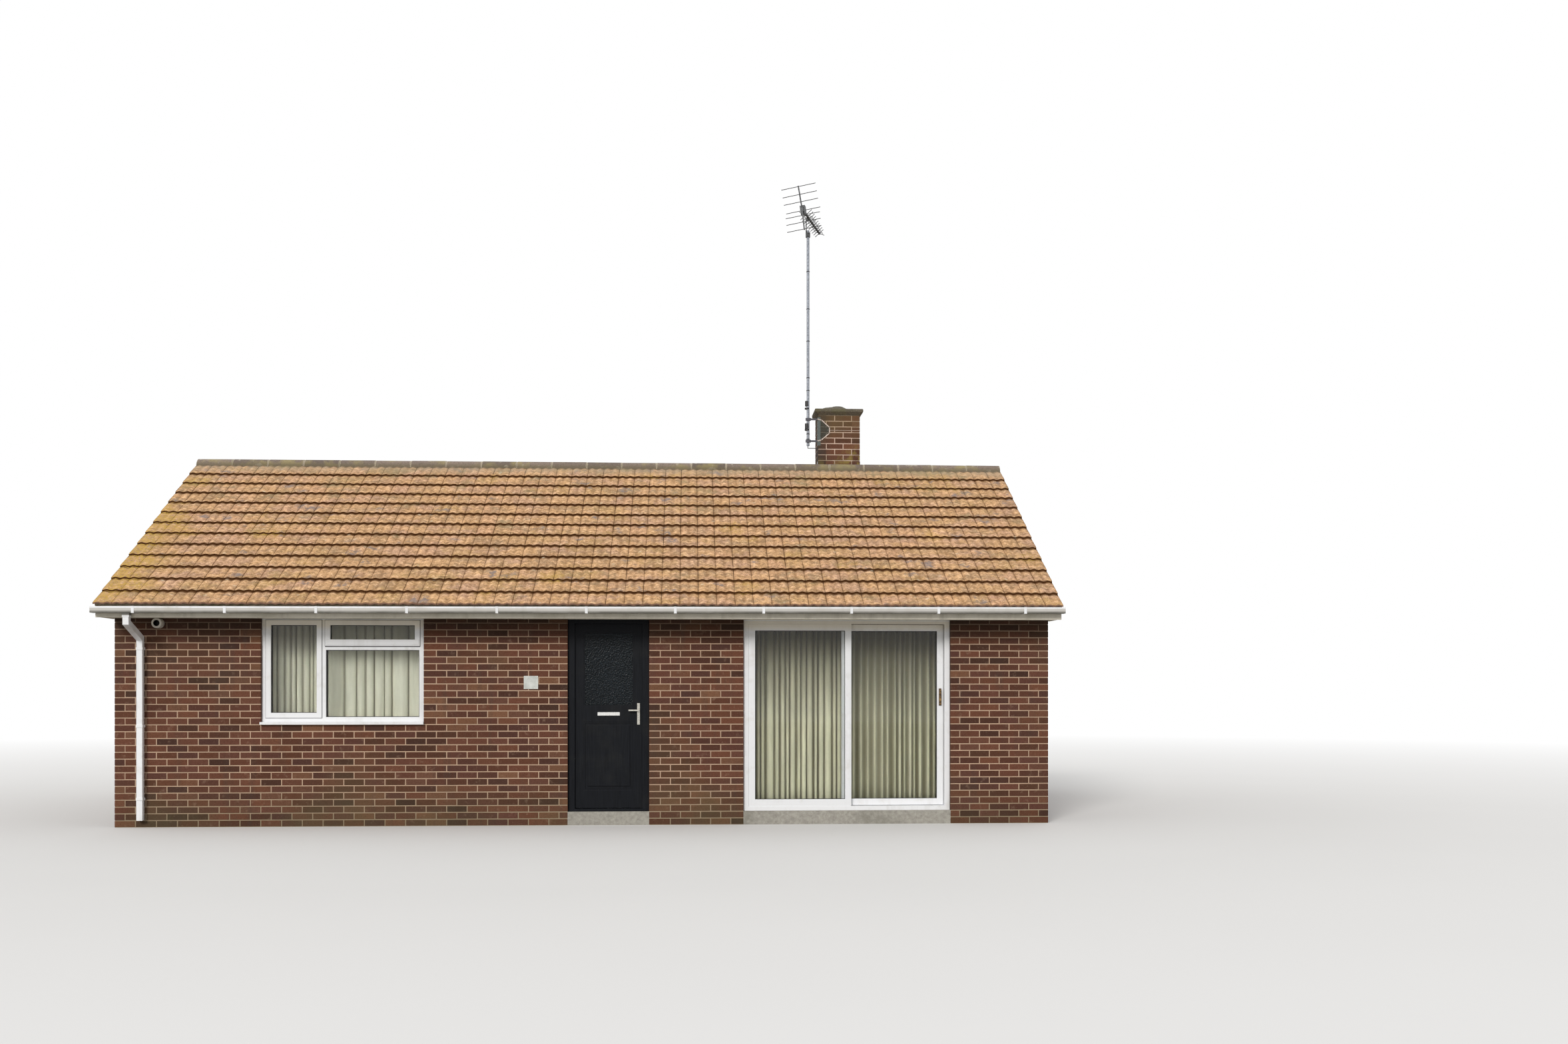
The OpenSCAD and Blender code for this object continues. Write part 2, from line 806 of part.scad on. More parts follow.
module rear_door() color("#10141f") rear() translate([rear_door_x, 0, 0]) {
    difference() {
        union() {
            door_leaf();
            leaf_block(-leaf_w / 2 - run_gap, leaf_w / 2 + run_gap, leaf_y + run_gap, leaf_y,
                leaf_z - run_gap, leaf_top + run_gap);
        }
        leaf_block(-pane_w / 2, pane_w / 2, leaf_y + 2 * run_gap, leaf_back, pane_z, pane_top);
        leaf_block(-pane_w / 2, pane_w / 2, leaf_y + 2 * run_gap, leaf_y - 1,
            leaf_z + bottom_rail_h, leaf_z + mid_rail_z);
    }
}

module front_door() color("#10141f") translate([door_x, 0, 0]) door_leaf();

module front_door_glass() color("lightblue") translate([door_x, 0, 0]) door_pane();

module letter_plate() color("silver") translate([door_x, 0, 0]) {
    z = leaf_z + mid_rail_z + mid_rail_h / 2;
    half_w = 124;
    half_h = 19;
    leaf_block(-half_w, half_w, leaf_y + 8, leaf_y, z - half_h, z + half_h);
    leaf_block(-half_w, half_w, leaf_back, leaf_back - 6, z - half_h, z + half_h);
}

module lever(y, out) {
    x = leaf_w / 2 - stile_w / 2;
    z = leaf_z + mid_rail_z + mid_rail_h / 2;
    backplate = [30, 8, 240];
    spindle_r = 8;
    spindle_z = 40;
    grip = [34, 48];
    grip_l = 110;
    translate([x, -y, z]) {
        block([-backplate[0] / 2, min(0, -backplate[1] * out), -backplate[2] / 2],
            [backplate[0] / 2, max(0, -backplate[1] * out), backplate[2] / 2]);
        translate([0, 0, spindle_z]) rotate([out * 90, 0, 0])
            cylinder(r = spindle_r, h = grip[1] - 2, $fn = 32);
        block([-grip_l, min(-grip * out), spindle_z - spindle_r],
            [spindle_r + 1, max(-grip * out), spindle_z + spindle_r]);
    }
}

module door_handle() color("silver") translate([door_x, 0, 0]) {
    lever(leaf_y, 1);
    lever(leaf_back, -1);
}

hinge_flap = 36;

module hinge_pin_side(z) {
    translate([hinge_x, -hinge_y, z]) {
        cylinder(r = hinge_r, h = hinge_l / 2, $fn = 48);
        cylinder(r = hinge_pin, h = hinge_l - 1, $fn = 48);
        block([2 - hinge_flap, hinge_y - frame_y + frame_d, 0], [0, -hinge_pin, hinge_l / 2]);
    }
}

module hinge_leaf_side(z) {
    half = hinge_l / 2 - hinge_gap;
    translate([hinge_x, -hinge_y, z + hinge_l - half]) difference() {
        union() {
            cylinder(r = hinge_r, h = half, $fn = 48);
            block([0, hinge_y - leaf_back, 0], [hinge_flap, -hinge_pin, half]);
        }
        translate([0, 0, -1]) cylinder(r = hinge_pin + hinge_fit, h = hinge_l, $fn = 48);
    }
}

module door_hinge_pins() color("silver") translate([door_x, 0, 0]) {
    for (z = hinge_zs) hinge_pin_side(z);
}

module door_hinge_knuckles() color("silver") translate([door_x, 0, 0]) {
    for (z = hinge_zs) hinge_leaf_side(z);
}

// Sliding patio door

module patio_leaf(x0, x1, y) {
    difference() {
        block([patio_x + x0, -y, patio_z + run_gap], [patio_x + x1, -y + patio_leaf_t, patio_top - run_gap]);
        block([patio_x + x0 + patio_stile, -y - 1, patio_z + run_gap + patio_stile],
            [patio_x + x1 - patio_stile, -y + patio_leaf_t + 1, patio_top - run_gap - patio_stile]);
    }
}

module patio_pane(x0, x1, y) {
    mid = y - patio_leaf_t / 2;
    block([patio_x + x0 + patio_stile, -mid - glass_t / 2, patio_z + run_gap + patio_stile],
        [patio_x + x1 - patio_stile, -mid + glass_t / 2, patio_top - run_gap - patio_stile]);
}

track_w = 8;
track_h = 9;
// Width and height of the slot over the track, and the gap under the rollers
roller_w = track_w + 8;
roller_top = track_h + 12;
roller_gap = 0.3;
roller_l = 60;
track_y = patio_rear_y - patio_leaf_t / 2;

module patio_frame() color("white") {
    difference() {
        block([patio_x - patio_w / 2, -frame_y, floor_h],
            [patio_x + patio_w / 2, -frame_y + patio_d, head_h]);
        block([patio_x - patio_in, -frame_y - 1, patio_z], [patio_x + patio_in, -frame_y + patio_d + 1, patio_top]);
    }
    block([patio_x - patio_in, -track_y - track_w / 2, patio_z - 1],
        [patio_x + patio_in, -track_y + track_w / 2, patio_z + track_h]);
    // Seats that the fixed leaf stands in
    for (z = [patio_z, patio_top - run_gap])
        block([patio_x - patio_in, -patio_front_y, z],
            [patio_x - patio_in + patio_leaf_w, -patio_front_y + patio_leaf_t, z + run_gap]);
}

module patio_fixed_leaf() color("white") patio_leaf(-patio_in, -patio_in + patio_leaf_w, patio_front_y);

module roller_slot(x0, x1, w, z0, z1) {
    block([patio_x + x0, -track_y - w / 2, z0], [patio_x + x1, -track_y + w / 2, z1]);
}

module sliding_leaf() color("white") {
    x0 = patio_in - run_gap - patio_leaf_w;
    x1 = patio_in - run_gap;
    difference() {
        patio_leaf(x0, x1, patio_rear_y);
        roller_slot(x0 - 1, x1 + 1, roller_w, patio_z, patio_z + roller_top);
    }
    for (x = [x0 + 1.5 * roller_l, x1 - 2.5 * roller_l])
        roller_slot(x, x + roller_l, roller_w, patio_z + track_h + roller_gap, patio_z + roller_top);
}

module sliding_glass() color("lightblue") {
    patio_pane(patio_in - run_gap - patio_leaf_w, patio_in - run_gap, patio_rear_y);
}

module pull(y, out) {
    x = patio_x + patio_in - run_gap - patio_stile / 2;
    z = floor_h + handle_z;
    long = 195;
    back_t = 6;
    post = 18;
    bow = [20, 32];
    end = 12;
    translate([x, -y, z]) {
        block([-14, min(0, -back_t * out), 0], [14, max(0, -back_t * out), long]);
        for (h = [end, long - end - post])
            block([-8, min(0, (2 - bow[1]) * out), h], [8, max(0, (2 - bow[1]) * out), h + post]);
        block([-10, min(-bow * out), end], [10, max(-bow * out), long - end]);
    }
}

module sliding_handle() color("goldenrod") {
    pull(patio_rear_y, 1);
    pull(patio_rear_y - patio_leaf_t, -1);
}

// Chimney

module stack_block(z0, z1) {
    block([stack_x - stack_w / 2, stack_y, z0], [stack_x + stack_w / 2, stack_back, z1]);
}

module chimney_stack() color("saddlebrown") stack_block(floor_h, stack_top);

// Outline of the cap over a stack of the given width: chamfered below, square above
module cap_outline(w) {
    polygon([[-w / 2, 0], [w / 2, 0], [w / 2 + cap_over, cap_over], [w / 2 + cap_over, cap_h],
        [-w / 2 - cap_over, cap_h], [-w / 2 - cap_over, cap_over]]);
}

module chimney_cap() color("dimgray") translate([stack_x, (stack_y + stack_back) / 2, stack_top]) {
    side = stack_w + 2 * cap_over + 2;
    depth = stack_d + 2 * cap_over + 2;
    intersection() {
        translate([0, depth / 2, 0]) rotate([90, 0, 0]) linear_extrude(depth) cap_outline(stack_w);
        translate([-side / 2, 0, 0]) rotate([90, 0, 90]) linear_extrude(side) cap_outline(stack_d);
    }
    translate([0, 0, cap_h]) cylinder(r1 = stack_d * 0.45, r2 = stack_d * 0.16, h = mound_h, $fn = 64);
}

// Aerial

module aerial_mast() color("silver") {
    translate([mast_x, mast_y, mast_foot]) cylinder(d = mast_d, h = mast_l, $fn = 32);
}

module wire(a, b) {
    d = b - a;
    translate([a[0], stack_y - 6, a[1]]) rotate([0, -atan2(d[1], d[0]), 0])
        translate([0, 0, -3]) cube([norm(d), 5, 6]);
}

module aerial_bracket() color("silver") {
    side = stack_x - stack_w / 2;
    nose = side + 127;
    strap = 5;
    arm = 15;
    ring = mast_d / 2 + clamp_t;
    difference() {
        union() {
            block([side - strap, stack_y - strap, plate_lo], [side, stack_y + 2 * mast_in, plate_hi]);
            block([side - 1, stack_y - strap, plate_lo], [side + 2 * arm, stack_y, plate_hi]);
            for (z = arm_zs) {
                block([mast_x, mast_y - arm, z], [side - 1, mast_y + arm, z + 6]);
                block([mast_x - ring, mast_y - ring, z - 10], [mast_x + ring, mast_y + ring, z + 16]);
                wire([side + 10, z], [nose, tie_z]);
            }
            block([nose - 12, stack_y - 8, tie_z - 12], [nose + 12, stack_y, tie_z + 12]);
            difference() {
                block([side - strap, stack_y - strap, tie_z - 3],
                    [stack_x + stack_w / 2 + strap, stack_back + strap, tie_z + 3]);
                stack_block(0, far);
            }
        }
        translate([mast_x, mast_y, plate_lo]) cylinder(d = mast_d + mast_fit, h = plate_hi, $fn = 32);
    }
}

// A rod across the boom at distance s from the reflector, turned about the boom
module rod(s, l, z, turn = 0) {
    translate([0, -s, z]) rotate([0, 90 + turn, 0]) cylinder(d = rod_d, h = l, center = true, $fn = 8);
}

// Two leaning bars that carry the reflector's rods
module reflector() {
    lean = 10;
    block([-14, -28, -34], [14, 12, 34]);
    for (m = [0, 1]) mirror([0, 0, m]) rotate([-lean, 0, 0]) {
        block([-8, -9, 15], [8, 9, reflector_l]);
        for (k = [0.31, 0.63, 0.97]) rod(0, rod_l, reflector_l * k);
    }
}

// Crossed rods along the boom, each pair a little shorter than the one before it
module directors() {
    first = 260;
    count = 10;
    shrink = 5.5;
    cross = 32;
    holder = 15;
    for (i = [0 : count - 1]) {
        s = first + (boom_l - first - holder / 2) * i / (count - 1);
        for (turn = [-cross, cross]) rod(s, director_l - shrink * i, 0, turn);
        block([-holder, -s - holder / 2, -holder], [holder, -s + holder / 2, holder]);
    }
}

// Dipole and its connection box
module dipole() {
    s = 70;
    rod(s, rod_l, 0);
    block([-34, -s - 35, -58], [34, -s + 35, 58]);
}

module aerial_head() color("dimgray") {
    boom_z = mast_top + boom_lift;
    arm = mast_d / 2 + 12;
    clamp = mast_d / 2 + clamp_t;
    clamp_z = mast_top - 90;
    difference() {
        union() {
            translate([mast_x + boom_side, mast_y, boom_z]) rotate([0, boom_roll, 180 - boom_turn])
                translate([0, boom_clamp, 0]) {
                    block([-boom_w / 2, -boom_l, -boom_w / 2], [boom_w / 2, 0, boom_w / 2]);
                    reflector();
                    dipole();
                    directors();
                }
            translate([mast_x, mast_y, 0]) {
                block([-clamp, -clamp, clamp_z], [clamp, clamp, clamp_z + 60]);
                block([-arm, -14, clamp_z], [-mast_d / 2, 14, boom_z + 8]);
                block([-arm, -14, boom_z - 16], [arm, 14, boom_z + 8]);
            }
        }
        translate([mast_x, mast_y, 0]) cylinder(d = mast_d + mast_fit, h = mast_top, $fn = 32);
    }
}

// Down the mast over the clamps, across to the stack and down it to the tiles
module aerial_cable() color("black") {
    y = mast_y + mast_d / 2 + clamp_t;
    side = stack_x - stack_w / 2;
    run_z = plate_lo - 30;
    block([mast_x - cable_w / 2, y, run_z], [mast_x + cable_w / 2, y + cable_w, mast_top - 20]);
    block([mast_x - cable_w / 2, y, run_z], [side, y + cable_w, run_z + cable_w]);
    difference() {
        block([side - cable_w, y, 0], [side, y + cable_w, run_z + cable_w]);
        along_x(side - 2 * cable_w, side + 1) under_tiles();
    }
}

// Fittings on the front wall

module flue_terminal() color("white") translate([-flue_x, -hd, soffit_z - flue_d / 2 - 3]) {
    rotate([90, 0, 0]) difference() {
        cylinder(d = flue_d, h = flue_l, $fn = 64);
        translate([0, 0, 20]) cylinder(d = flue_bore, h = flue_l, $fn = 64);
    }
}

module wall_plaque() color("white") {
    block([plaque_x - plaque_w / 2, -hd - plaque_t, plaque_z - plaque_w * 0.46],
        [plaque_x + plaque_w / 2, -hd, plaque_z + plaque_w * 0.46]);
}

floor_slab();
front_wall_left();
front_wall_middle();
front_wall_right();
front_wall_top();
rear_wall();
left_gable();
right_gable();
wall_plates();
roof_trusses();
ceiling();
front_roof_tiles();
rear_roof_tiles();
ridge_tiles();
verge_undercloaks();
fascias();
soffits();
gutters();
gutter_brackets();
downpipes();
window_frames();
window_sashes();
window_sills();
fixed_glass();
curtain_rails();
curtains();
door_frame();
door_hinge_pins();
patio_frame();
patio_fixed_leaf();
rear_door();
chimney_stack();
chimney_cap();
aerial_mast();
aerial_bracket();
aerial_head();
aerial_cable();
flue_terminal();
wall_plaque();
front_door();
front_door_glass();
letter_plate();
door_handle();
door_hinge_knuckles();
sliding_leaf();
sliding_glass();
sliding_handle();
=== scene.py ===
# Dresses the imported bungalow: brickwork, roof tiles, curtains, fittings, finishes and a studio stage.
import bisect
import math
import random

import bmesh
import bpy
from bpy.props import FloatProperty, FloatVectorProperty, IntProperty, PointerProperty
from mathutils import Matrix, Vector


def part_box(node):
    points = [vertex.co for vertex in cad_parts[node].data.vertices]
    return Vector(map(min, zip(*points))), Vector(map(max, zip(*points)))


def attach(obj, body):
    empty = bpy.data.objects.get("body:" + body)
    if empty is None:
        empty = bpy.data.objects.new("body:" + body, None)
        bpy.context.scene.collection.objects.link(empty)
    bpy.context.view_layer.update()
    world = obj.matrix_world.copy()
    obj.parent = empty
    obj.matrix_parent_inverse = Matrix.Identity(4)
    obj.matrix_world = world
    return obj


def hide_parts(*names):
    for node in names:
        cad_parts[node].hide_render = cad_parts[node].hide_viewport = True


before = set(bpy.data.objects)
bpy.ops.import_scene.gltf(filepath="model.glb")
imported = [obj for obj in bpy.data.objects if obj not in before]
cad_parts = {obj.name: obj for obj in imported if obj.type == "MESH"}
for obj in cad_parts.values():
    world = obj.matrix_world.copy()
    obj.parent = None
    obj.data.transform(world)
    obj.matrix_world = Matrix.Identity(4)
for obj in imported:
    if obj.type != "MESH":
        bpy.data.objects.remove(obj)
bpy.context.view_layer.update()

bl_info = {
    "name": "Brick bungalow",
    "version": (1, 0, 0),
    "blender": (4, 5, 0),
    "location": "3D View > Sidebar > Bungalow",
    "description": "Lays the bricks and roof tiles, hangs the curtains and finishes a packed bungalow",
    "category": "Object",
}

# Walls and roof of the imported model, in metres
HALF_W = 5.17
HALF_D = 3.2
WALL_TOP = 2.5
SOFFIT_Z = 2.295
HEEL = 0.144
PITCH = math.radians(29)
NOSE_Y = 3.656
ROOF_X = 5.237
RIDGE_HALF = 0.118
RIDGE_RISE = 0.092
GUTTER_Z = 2.408
GUTTER_SLOPE = 0.0019

# Half the width, half the depth and the height of the plastered room
ROOM = (4.905, 2.935, 2.57)

# Openings, and the windows, doors and curtains in them
HEAD_Z = 2.325
SILL_Z = 1.125
REVEAL = 0.04
WINDOW_X = 2.714
WINDOW_HALF = 0.885
DOOR_X = 0.21
DOOR_HALF = 0.455
PATIO_X = 2.8875
PATIO_HALF = 1.1725
FRAME_Y = 3.16
FRAME_FOOT = 1.155
FRAME_BAR = 0.053
MULLION_BAR = 0.053
MULLION_X = 0.671
TRANSOM_DROP = 0.348
SASH_BAR = 0.047
LEAF_STILE = 0.072
GASKET = 0.006
GLASS_Y = 3.137
CLOTH_Y = 2.875
CLOTH_TOP = 2.3975
CURTAIN_FOOT = 1.035
CURTAIN_HALF = 0.975
BLIND_FOOT = 0.165
BLIND_HALF = 1.2575

# The chimney's left, right, front and rear faces, its strap, and the mast's centre beside it
STACK = (2.829, 3.383, 0.14, 0.58)
STRAP_Z = 4.975
MAST = (2.696, 0.185)

# Roof tiles: height of a nose over the rafters, the step down to its tail, the lap and the courses
TILE_NOSE = 0.07
TILE_STEP = 0.02
TILE_LAP = 0.075
COURSES = 13


def roof_z(y):
    """Height of the rafters' upper edge at a distance y from the ridge."""
    return WALL_TOP + HEEL + (HALF_D - abs(y)) * math.tan(PITCH)


def slope_point(s, t):
    """(Y, Z) on the front slope, s up the slope from the eaves and t square to it."""
    return (-NOSE_Y + s * math.cos(PITCH) - t * math.sin(PITCH),
            roof_z(NOSE_Y) + s * math.sin(PITCH) + t * math.cos(PITCH))


def slope_at(y, t):
    """Distance up the slope of the point at y that lies t above the rafters."""
    return (y + NOSE_Y + t * math.sin(PITCH)) / math.cos(PITCH)


GAUGE = slope_at(-RIDGE_HALF, TILE_NOSE - TILE_STEP) / COURSES
RIDGE_RADIUS = (RIDGE_HALF ** 2 + RIDGE_RISE ** 2) / (2 * RIDGE_RISE)
RIDGE_SPREAD = math.asin(RIDGE_HALF / RIDGE_RADIUS)


def metres(name, text, value, low, high):
    """A property that is a length."""
    return FloatProperty(
        name=name, description=text, default=value, min=low, max=high, unit="LENGTH", subtype="DISTANCE")


def number(name, text, value, low, high):
    """A property that counts pieces."""
    return IntProperty(name=name, description=text, default=value, min=low, max=high)


def colour(name, text, value):
    """A colour property for a finish."""
    return FloatVectorProperty(
        name=name, description=text, default=value, min=0, max=1, size=3, subtype="COLOR")


class BungalowSizes(bpy.types.PropertyGroup):
    """Sizes of the brickwork, the tiles and the cloth."""

    brick_proud: metres("Brick proud", "How far the bricks stand out of their joints", 0.0035, 0.001, 0.006)
    brick_length: metres("Brick length", "Length of a brick and one joint", 0.225, 0.2, 0.25)
    course_height: metres("Course height", "Height of a brick and one joint", 0.075, 0.07, 0.08)
    joint: metres("Mortar joint", "Thickness of the mortar joints", 0.01, 0.006, 0.014)
    tile_columns: number("Tile columns", "Number of tiles in one course", 52, 40, 60)
    tile_thickness: metres("Tile thickness", "Thickness of a roof tile", 0.017, 0.01, 0.02)
    tile_wave: metres("Tile wave", "Depth of the two waves across a tile", 0.011, 0.004, 0.02)
    ridge_count: number("Ridge tiles", "Number of tiles along the ridge", 23, 18, 30)
    fold_depth: metres("Fold depth", "Depth of the curtains' folds", 0.046, 0.02, 0.055)


class BungalowColours(bpy.types.PropertyGroup):
    """Colours of the finishes."""

    brick_dark: colour("Dark brick", "Purple-brown of the darkest bricks", (0.052, 0.024, 0.016))
    brick_mid: colour("Middle brick", "Red-brown of most bricks", (0.127, 0.0485, 0.0285))
    brick_light: colour("Light brick", "Orange-brown of the lightest bricks", (0.21, 0.099, 0.054))
    mortar: colour("Mortar", "Pinkish beige of the joints", (0.50, 0.345, 0.24))
    tile: colour("Tile", "Tan of the roof tiles", (0.655, 0.392, 0.197))
    lichen: colour("Lichen", "Golden growth on the tiles", (0.56, 0.36, 0.08))
    ridge: colour("Ridge", "Grey-brown of the ridge tiles", (0.205, 0.158, 0.128))
    plastic: colour("White plastic", "White of frames and rainwater goods", (0.85, 0.86, 0.88))
    door: colour("Door", "Near black of the doors", (0.006, 0.007, 0.0095))
    curtain: colour("Curtain", "Pale green cream of the window curtains", (0.95, 0.94, 0.745))
    net: colour("Net", "Greenish cream of the patio curtains", (0.86, 0.84, 0.62))


# Mesh helpers

def moved(x, y, z):
    """A matrix that moves."""
    return Matrix.Translation((x, y, z))


def turned(angle, axis):
    """A matrix that turns about an axis."""
    return Matrix.Rotation(angle, 4, axis)


def box_between(bm, lo, hi):
    """Adds a box between two corners and returns its vertices."""
    lo, hi = Vector(lo), Vector(hi)
    verts = bmesh.ops.create_cube(bm, size=1.0)["verts"]
    bmesh.ops.scale(bm, vec=hi - lo, verts=verts)
    bmesh.ops.translate(bm, vec=(lo + hi) / 2, verts=verts)
    return verts


def cylinder(bm, radius, depth, segments, place):
    """Adds a closed cylinder and returns its vertices."""
    return bmesh.ops.create_cone(bm, cap_ends=True, segments=segments, radius1=radius, radius2=radius,
                                 depth=depth, matrix=place)["verts"]


def bevel_edges(bm, edges, width):
    """Chamfers edges."""
    bmesh.ops.bevel(bm, geom=edges, offset=width, offset_type="OFFSET", affect="EDGES", segments=1,
                    profile=0.5, material=-1, clamp_overlap=True)


def edges_of(verts):
    """The edges that join the given vertices."""
    return list(dict.fromkeys(e for v in verts for e in v.link_edges if e.other_vert(v) in verts))


def soft_box(bm, lo, hi, width):
    """Adds a box with chamfered edges."""
    bevel_edges(bm, edges_of(box_between(bm, lo, hi)), width)


def cut_off(bm, point, normal):
    """Cuts away what lies on the normal's side of a plane and closes the cut."""
    geom = bm.verts[:] + bm.edges[:] + bm.faces[:]
    cut = bmesh.ops.bisect_plane(
        bm, geom=geom, dist=1e-6, plane_co=Vector(point), plane_no=Vector(normal), clear_outer=True)
    edges = [e for e in cut["geom_cut"] if isinstance(e, bmesh.types.BMEdge)]
    if edges:
        bmesh.ops.holes_fill(bm, edges=edges, sides=0)


def grid_shape(bm, across, along, place):
    """Adds a grid whose vertices are put where place(u, v) says, and returns its faces."""
    made = bmesh.ops.create_grid(bm, x_segments=across, y_segments=along, size=1.0)["verts"]
    for v in made:
        v.co = Vector(place((v.co.x + 1) / 2, (v.co.y + 1) / 2))
    return list(dict.fromkeys(f for v in made for f in v.link_faces))


def arc(bm, x0, x1, radius, spread, thickness, segments):
    """Adds an arched sheet along X that reaches down by an angle at both sides of its crown."""
    def place(u, v):
        angle = (v - 0.5) * 2 * spread
        return (x0 + u * (x1 - x0), radius * math.sin(angle), radius * math.cos(angle))

    bmesh.ops.solidify(bm, geom=grid_shape(bm, 1, segments, place), thickness=thickness)
    bmesh.ops.recalc_face_normals(bm, faces=bm.faces[:])


def ring(bm, x0, x1, z0, z1, y0, y1, width):
    """Adds a rectangular frame of four bars that lies in the XZ plane."""
    box_between(bm, (x0, y0, z0), (x0 + width, y1, z1))
    box_between(bm, (x1 - width, y0, z0), (x1, y1, z1))
    box_between(bm, (x0 + width, y0, z0), (x1 - width, y1, z0 + width))
    box_between(bm, (x0 + width, y0, z1 - width), (x1 - width, y1, z1))


def mesh_from(name, bm):
    """A mesh that takes over what a bmesh holds."""
    mesh = bpy.data.meshes.new(name)
    bm.to_mesh(mesh)
    bm.free()
    return mesh


def merge(bm, part):
    """Moves a part into bm."""
    mesh = mesh_from("part", part)
    bm.from_mesh(mesh)
    bpy.data.meshes.remove(mesh)


def merge_toned(bm, part, tone):
    """Moves a cut part into bm, once its new faces have the tone of the rest."""
    layer = part.faces.layers.float["tone"]
    for face in part.faces:
        face[layer] = tone
    merge(bm, part)


def put_in_scene(name, data):
    """A new object of the scene."""
    made = bpy.data.objects.new(name, data)
    bpy.context.scene.collection.objects.link(made)
    return made


def add_piece(name, bm, material, body="house", smooth=None):
    """Turns a bmesh into a piece that rides on a body."""
    mesh = mesh_from(name, bm)
    if smooth is not None:
        mesh.shade_smooth()
        mesh.set_sharp_from_angle(angle=math.radians(smooth))
    mesh.materials.append(material)
    piece = put_in_scene(name, mesh)
    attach(piece, body)
    return piece


class Stamp:
    """A small shape that is pressed many times into one mesh, each time with its own tone."""

    def __init__(self, bm):
        bm.faces.layers.float.new("tone")
        self.mesh = mesh_from("stamp", bm)
        self.rest = [0.0] * (3 * len(self.mesh.vertices))
        self.mesh.vertices.foreach_get("co", self.rest)

    def press(self, bm, matrix, tone):
        """Adds one copy to bm."""
        self.mesh.attributes["tone"].data.foreach_set("value", [tone] * len(self.mesh.polygons))
        self.mesh.vertices.foreach_set("co", self.rest)
        self.mesh.transform(matrix)
        bm.from_mesh(self.mesh, face_normals=False, vertex_normals=False)


def toned_mesh():
    """An empty bmesh that keeps each stamp's tone and UV map."""
    bm = bmesh.new()
    bm.faces.layers.float.new("tone")
    bm.loops.layers.uv.new("UVMap")
    return bm


# Material helpers

class Nodes:
    """A node tree, with short calls that add nodes to it."""

    def __init__(self, tree):
        self.tree = tree
        self.place = None

    def node(self, kind, **settings):
        """A new node with its settings."""
        made = self.tree.nodes.new(kind)
        for key, value in settings.items():
            setattr(made, key, value)
        return made

    def feed(self, socket, value):
        """Links a socket, or sets its value."""
        if isinstance(value, bpy.types.NodeSocket):
            self.tree.links.new(value, socket)
        elif socket.type == "RGBA":
            socket.default_value = (*value, 1.0)
        else:
            socket.default_value = value

    def position(self):
        """Object coordinates."""
        if self.place is None:
            self.place = self.node("ShaderNodeTexCoord").outputs["Object"]
        return self.place

    def stretched(self, scale, turn=(0, 0, 0)):
        """Object coordinates, stretched and turned by a Mapping node."""
        made = self.node("ShaderNodeMapping")
        self.feed(made.inputs["Vector"], self.position())
        self.feed(made.inputs["Scale"], scale)
        self.feed(made.inputs["Rotation"], turn)
        return made.outputs["Vector"]

    def axes(self, vector=None):
        """The X, Y and Z of a vector."""
        made = self.node("ShaderNodeSeparateXYZ")
        self.feed(made.inputs[0], vector or self.position())
        return list(made.outputs)

    def noise(self, scale, detail, rough, vector=None):
        """A noise value."""
        made = self.node("ShaderNodeTexNoise")
        self.feed(made.inputs["Vector"], vector or self.position())
        self.feed(made.inputs["Scale"], scale)
        self.feed(made.inputs["Detail"], detail)
        self.feed(made.inputs["Roughness"], rough)
        return made.outputs["Fac"]

    def cells(self, scale, feature="F1"):
        """A cell pattern's distance."""
        made = self.node("ShaderNodeTexVoronoi", feature=feature)
        self.feed(made.inputs["Vector"], self.position())
        self.feed(made.inputs["Scale"], scale)
        return made.outputs["Distance"]

    def span(self, value, low, high, to_low=0.0, to_high=1.0):
        """Maps a value from one range to another, and clamps it."""
        made = self.node("ShaderNodeMapRange", clamp=True)
        labels = ("Value", "From Min", "From Max", "To Min", "To Max")
        for label, given in zip(labels, (value, low, high, to_low, to_high)):
            self.feed(made.inputs[label], given)
        return made.outputs["Result"]

    def calc(self, operation, *values):
        """A Math node."""
        made = self.node("ShaderNodeMath", operation=operation)
        for socket, value in zip(made.inputs, values):
            self.feed(socket, value)
        return made.outputs[0]

    def times(self, product, *values):
        """The product of values."""
        for value in values:
            product = self.calc("MULTIPLY", product, value)
        return product

    def plus(self, a, b):
        """The sum of two values."""
        return self.calc("ADD", a, b)

    def minus(self, a, b):
        """The difference of two values."""
        return self.calc("SUBTRACT", a, b)

    def size(self, value):
        """A value without its sign."""
        return self.calc("ABSOLUTE", value)

    def below(self, value, limit):
        """1 where a value is below a limit."""
        return self.calc("LESS_THAN", value, limit)

    def above(self, value, limit):
        """1 where a value is above a limit."""
        return self.calc("GREATER_THAN", value, limit)

    def mix(self, amount, a, b):
        """A colour mix."""
        made = self.node("ShaderNodeMix", data_type="RGBA")
        self.feed(made.inputs["Factor"], amount)
        self.feed(made.inputs[6], a)
        self.feed(made.inputs[7], b)
        return made.outputs[2]

    def ramp(self, value, *stops):
        """A colour ramp with (position, colour) stops."""
        made = self.node("ShaderNodeValToRGB")
        elements = made.color_ramp.elements
        while len(elements) < len(stops):
            elements.new(0.5)
        for element, (at, tint) in zip(elements, stops):
            element.position = at
            element.color = (*tint, 1.0)
        self.feed(made.inputs["Fac"], value)
        return made.outputs["Color"]

    def bump(self, height, distance, strength):
        """A normal from a height, in metres times distance."""
        made = self.node("ShaderNodeBump")
        self.feed(made.inputs["Height"], height)
        self.feed(made.inputs["Distance"], distance)
        self.feed(made.inputs["Strength"], strength)
        return made.outputs["Normal"]


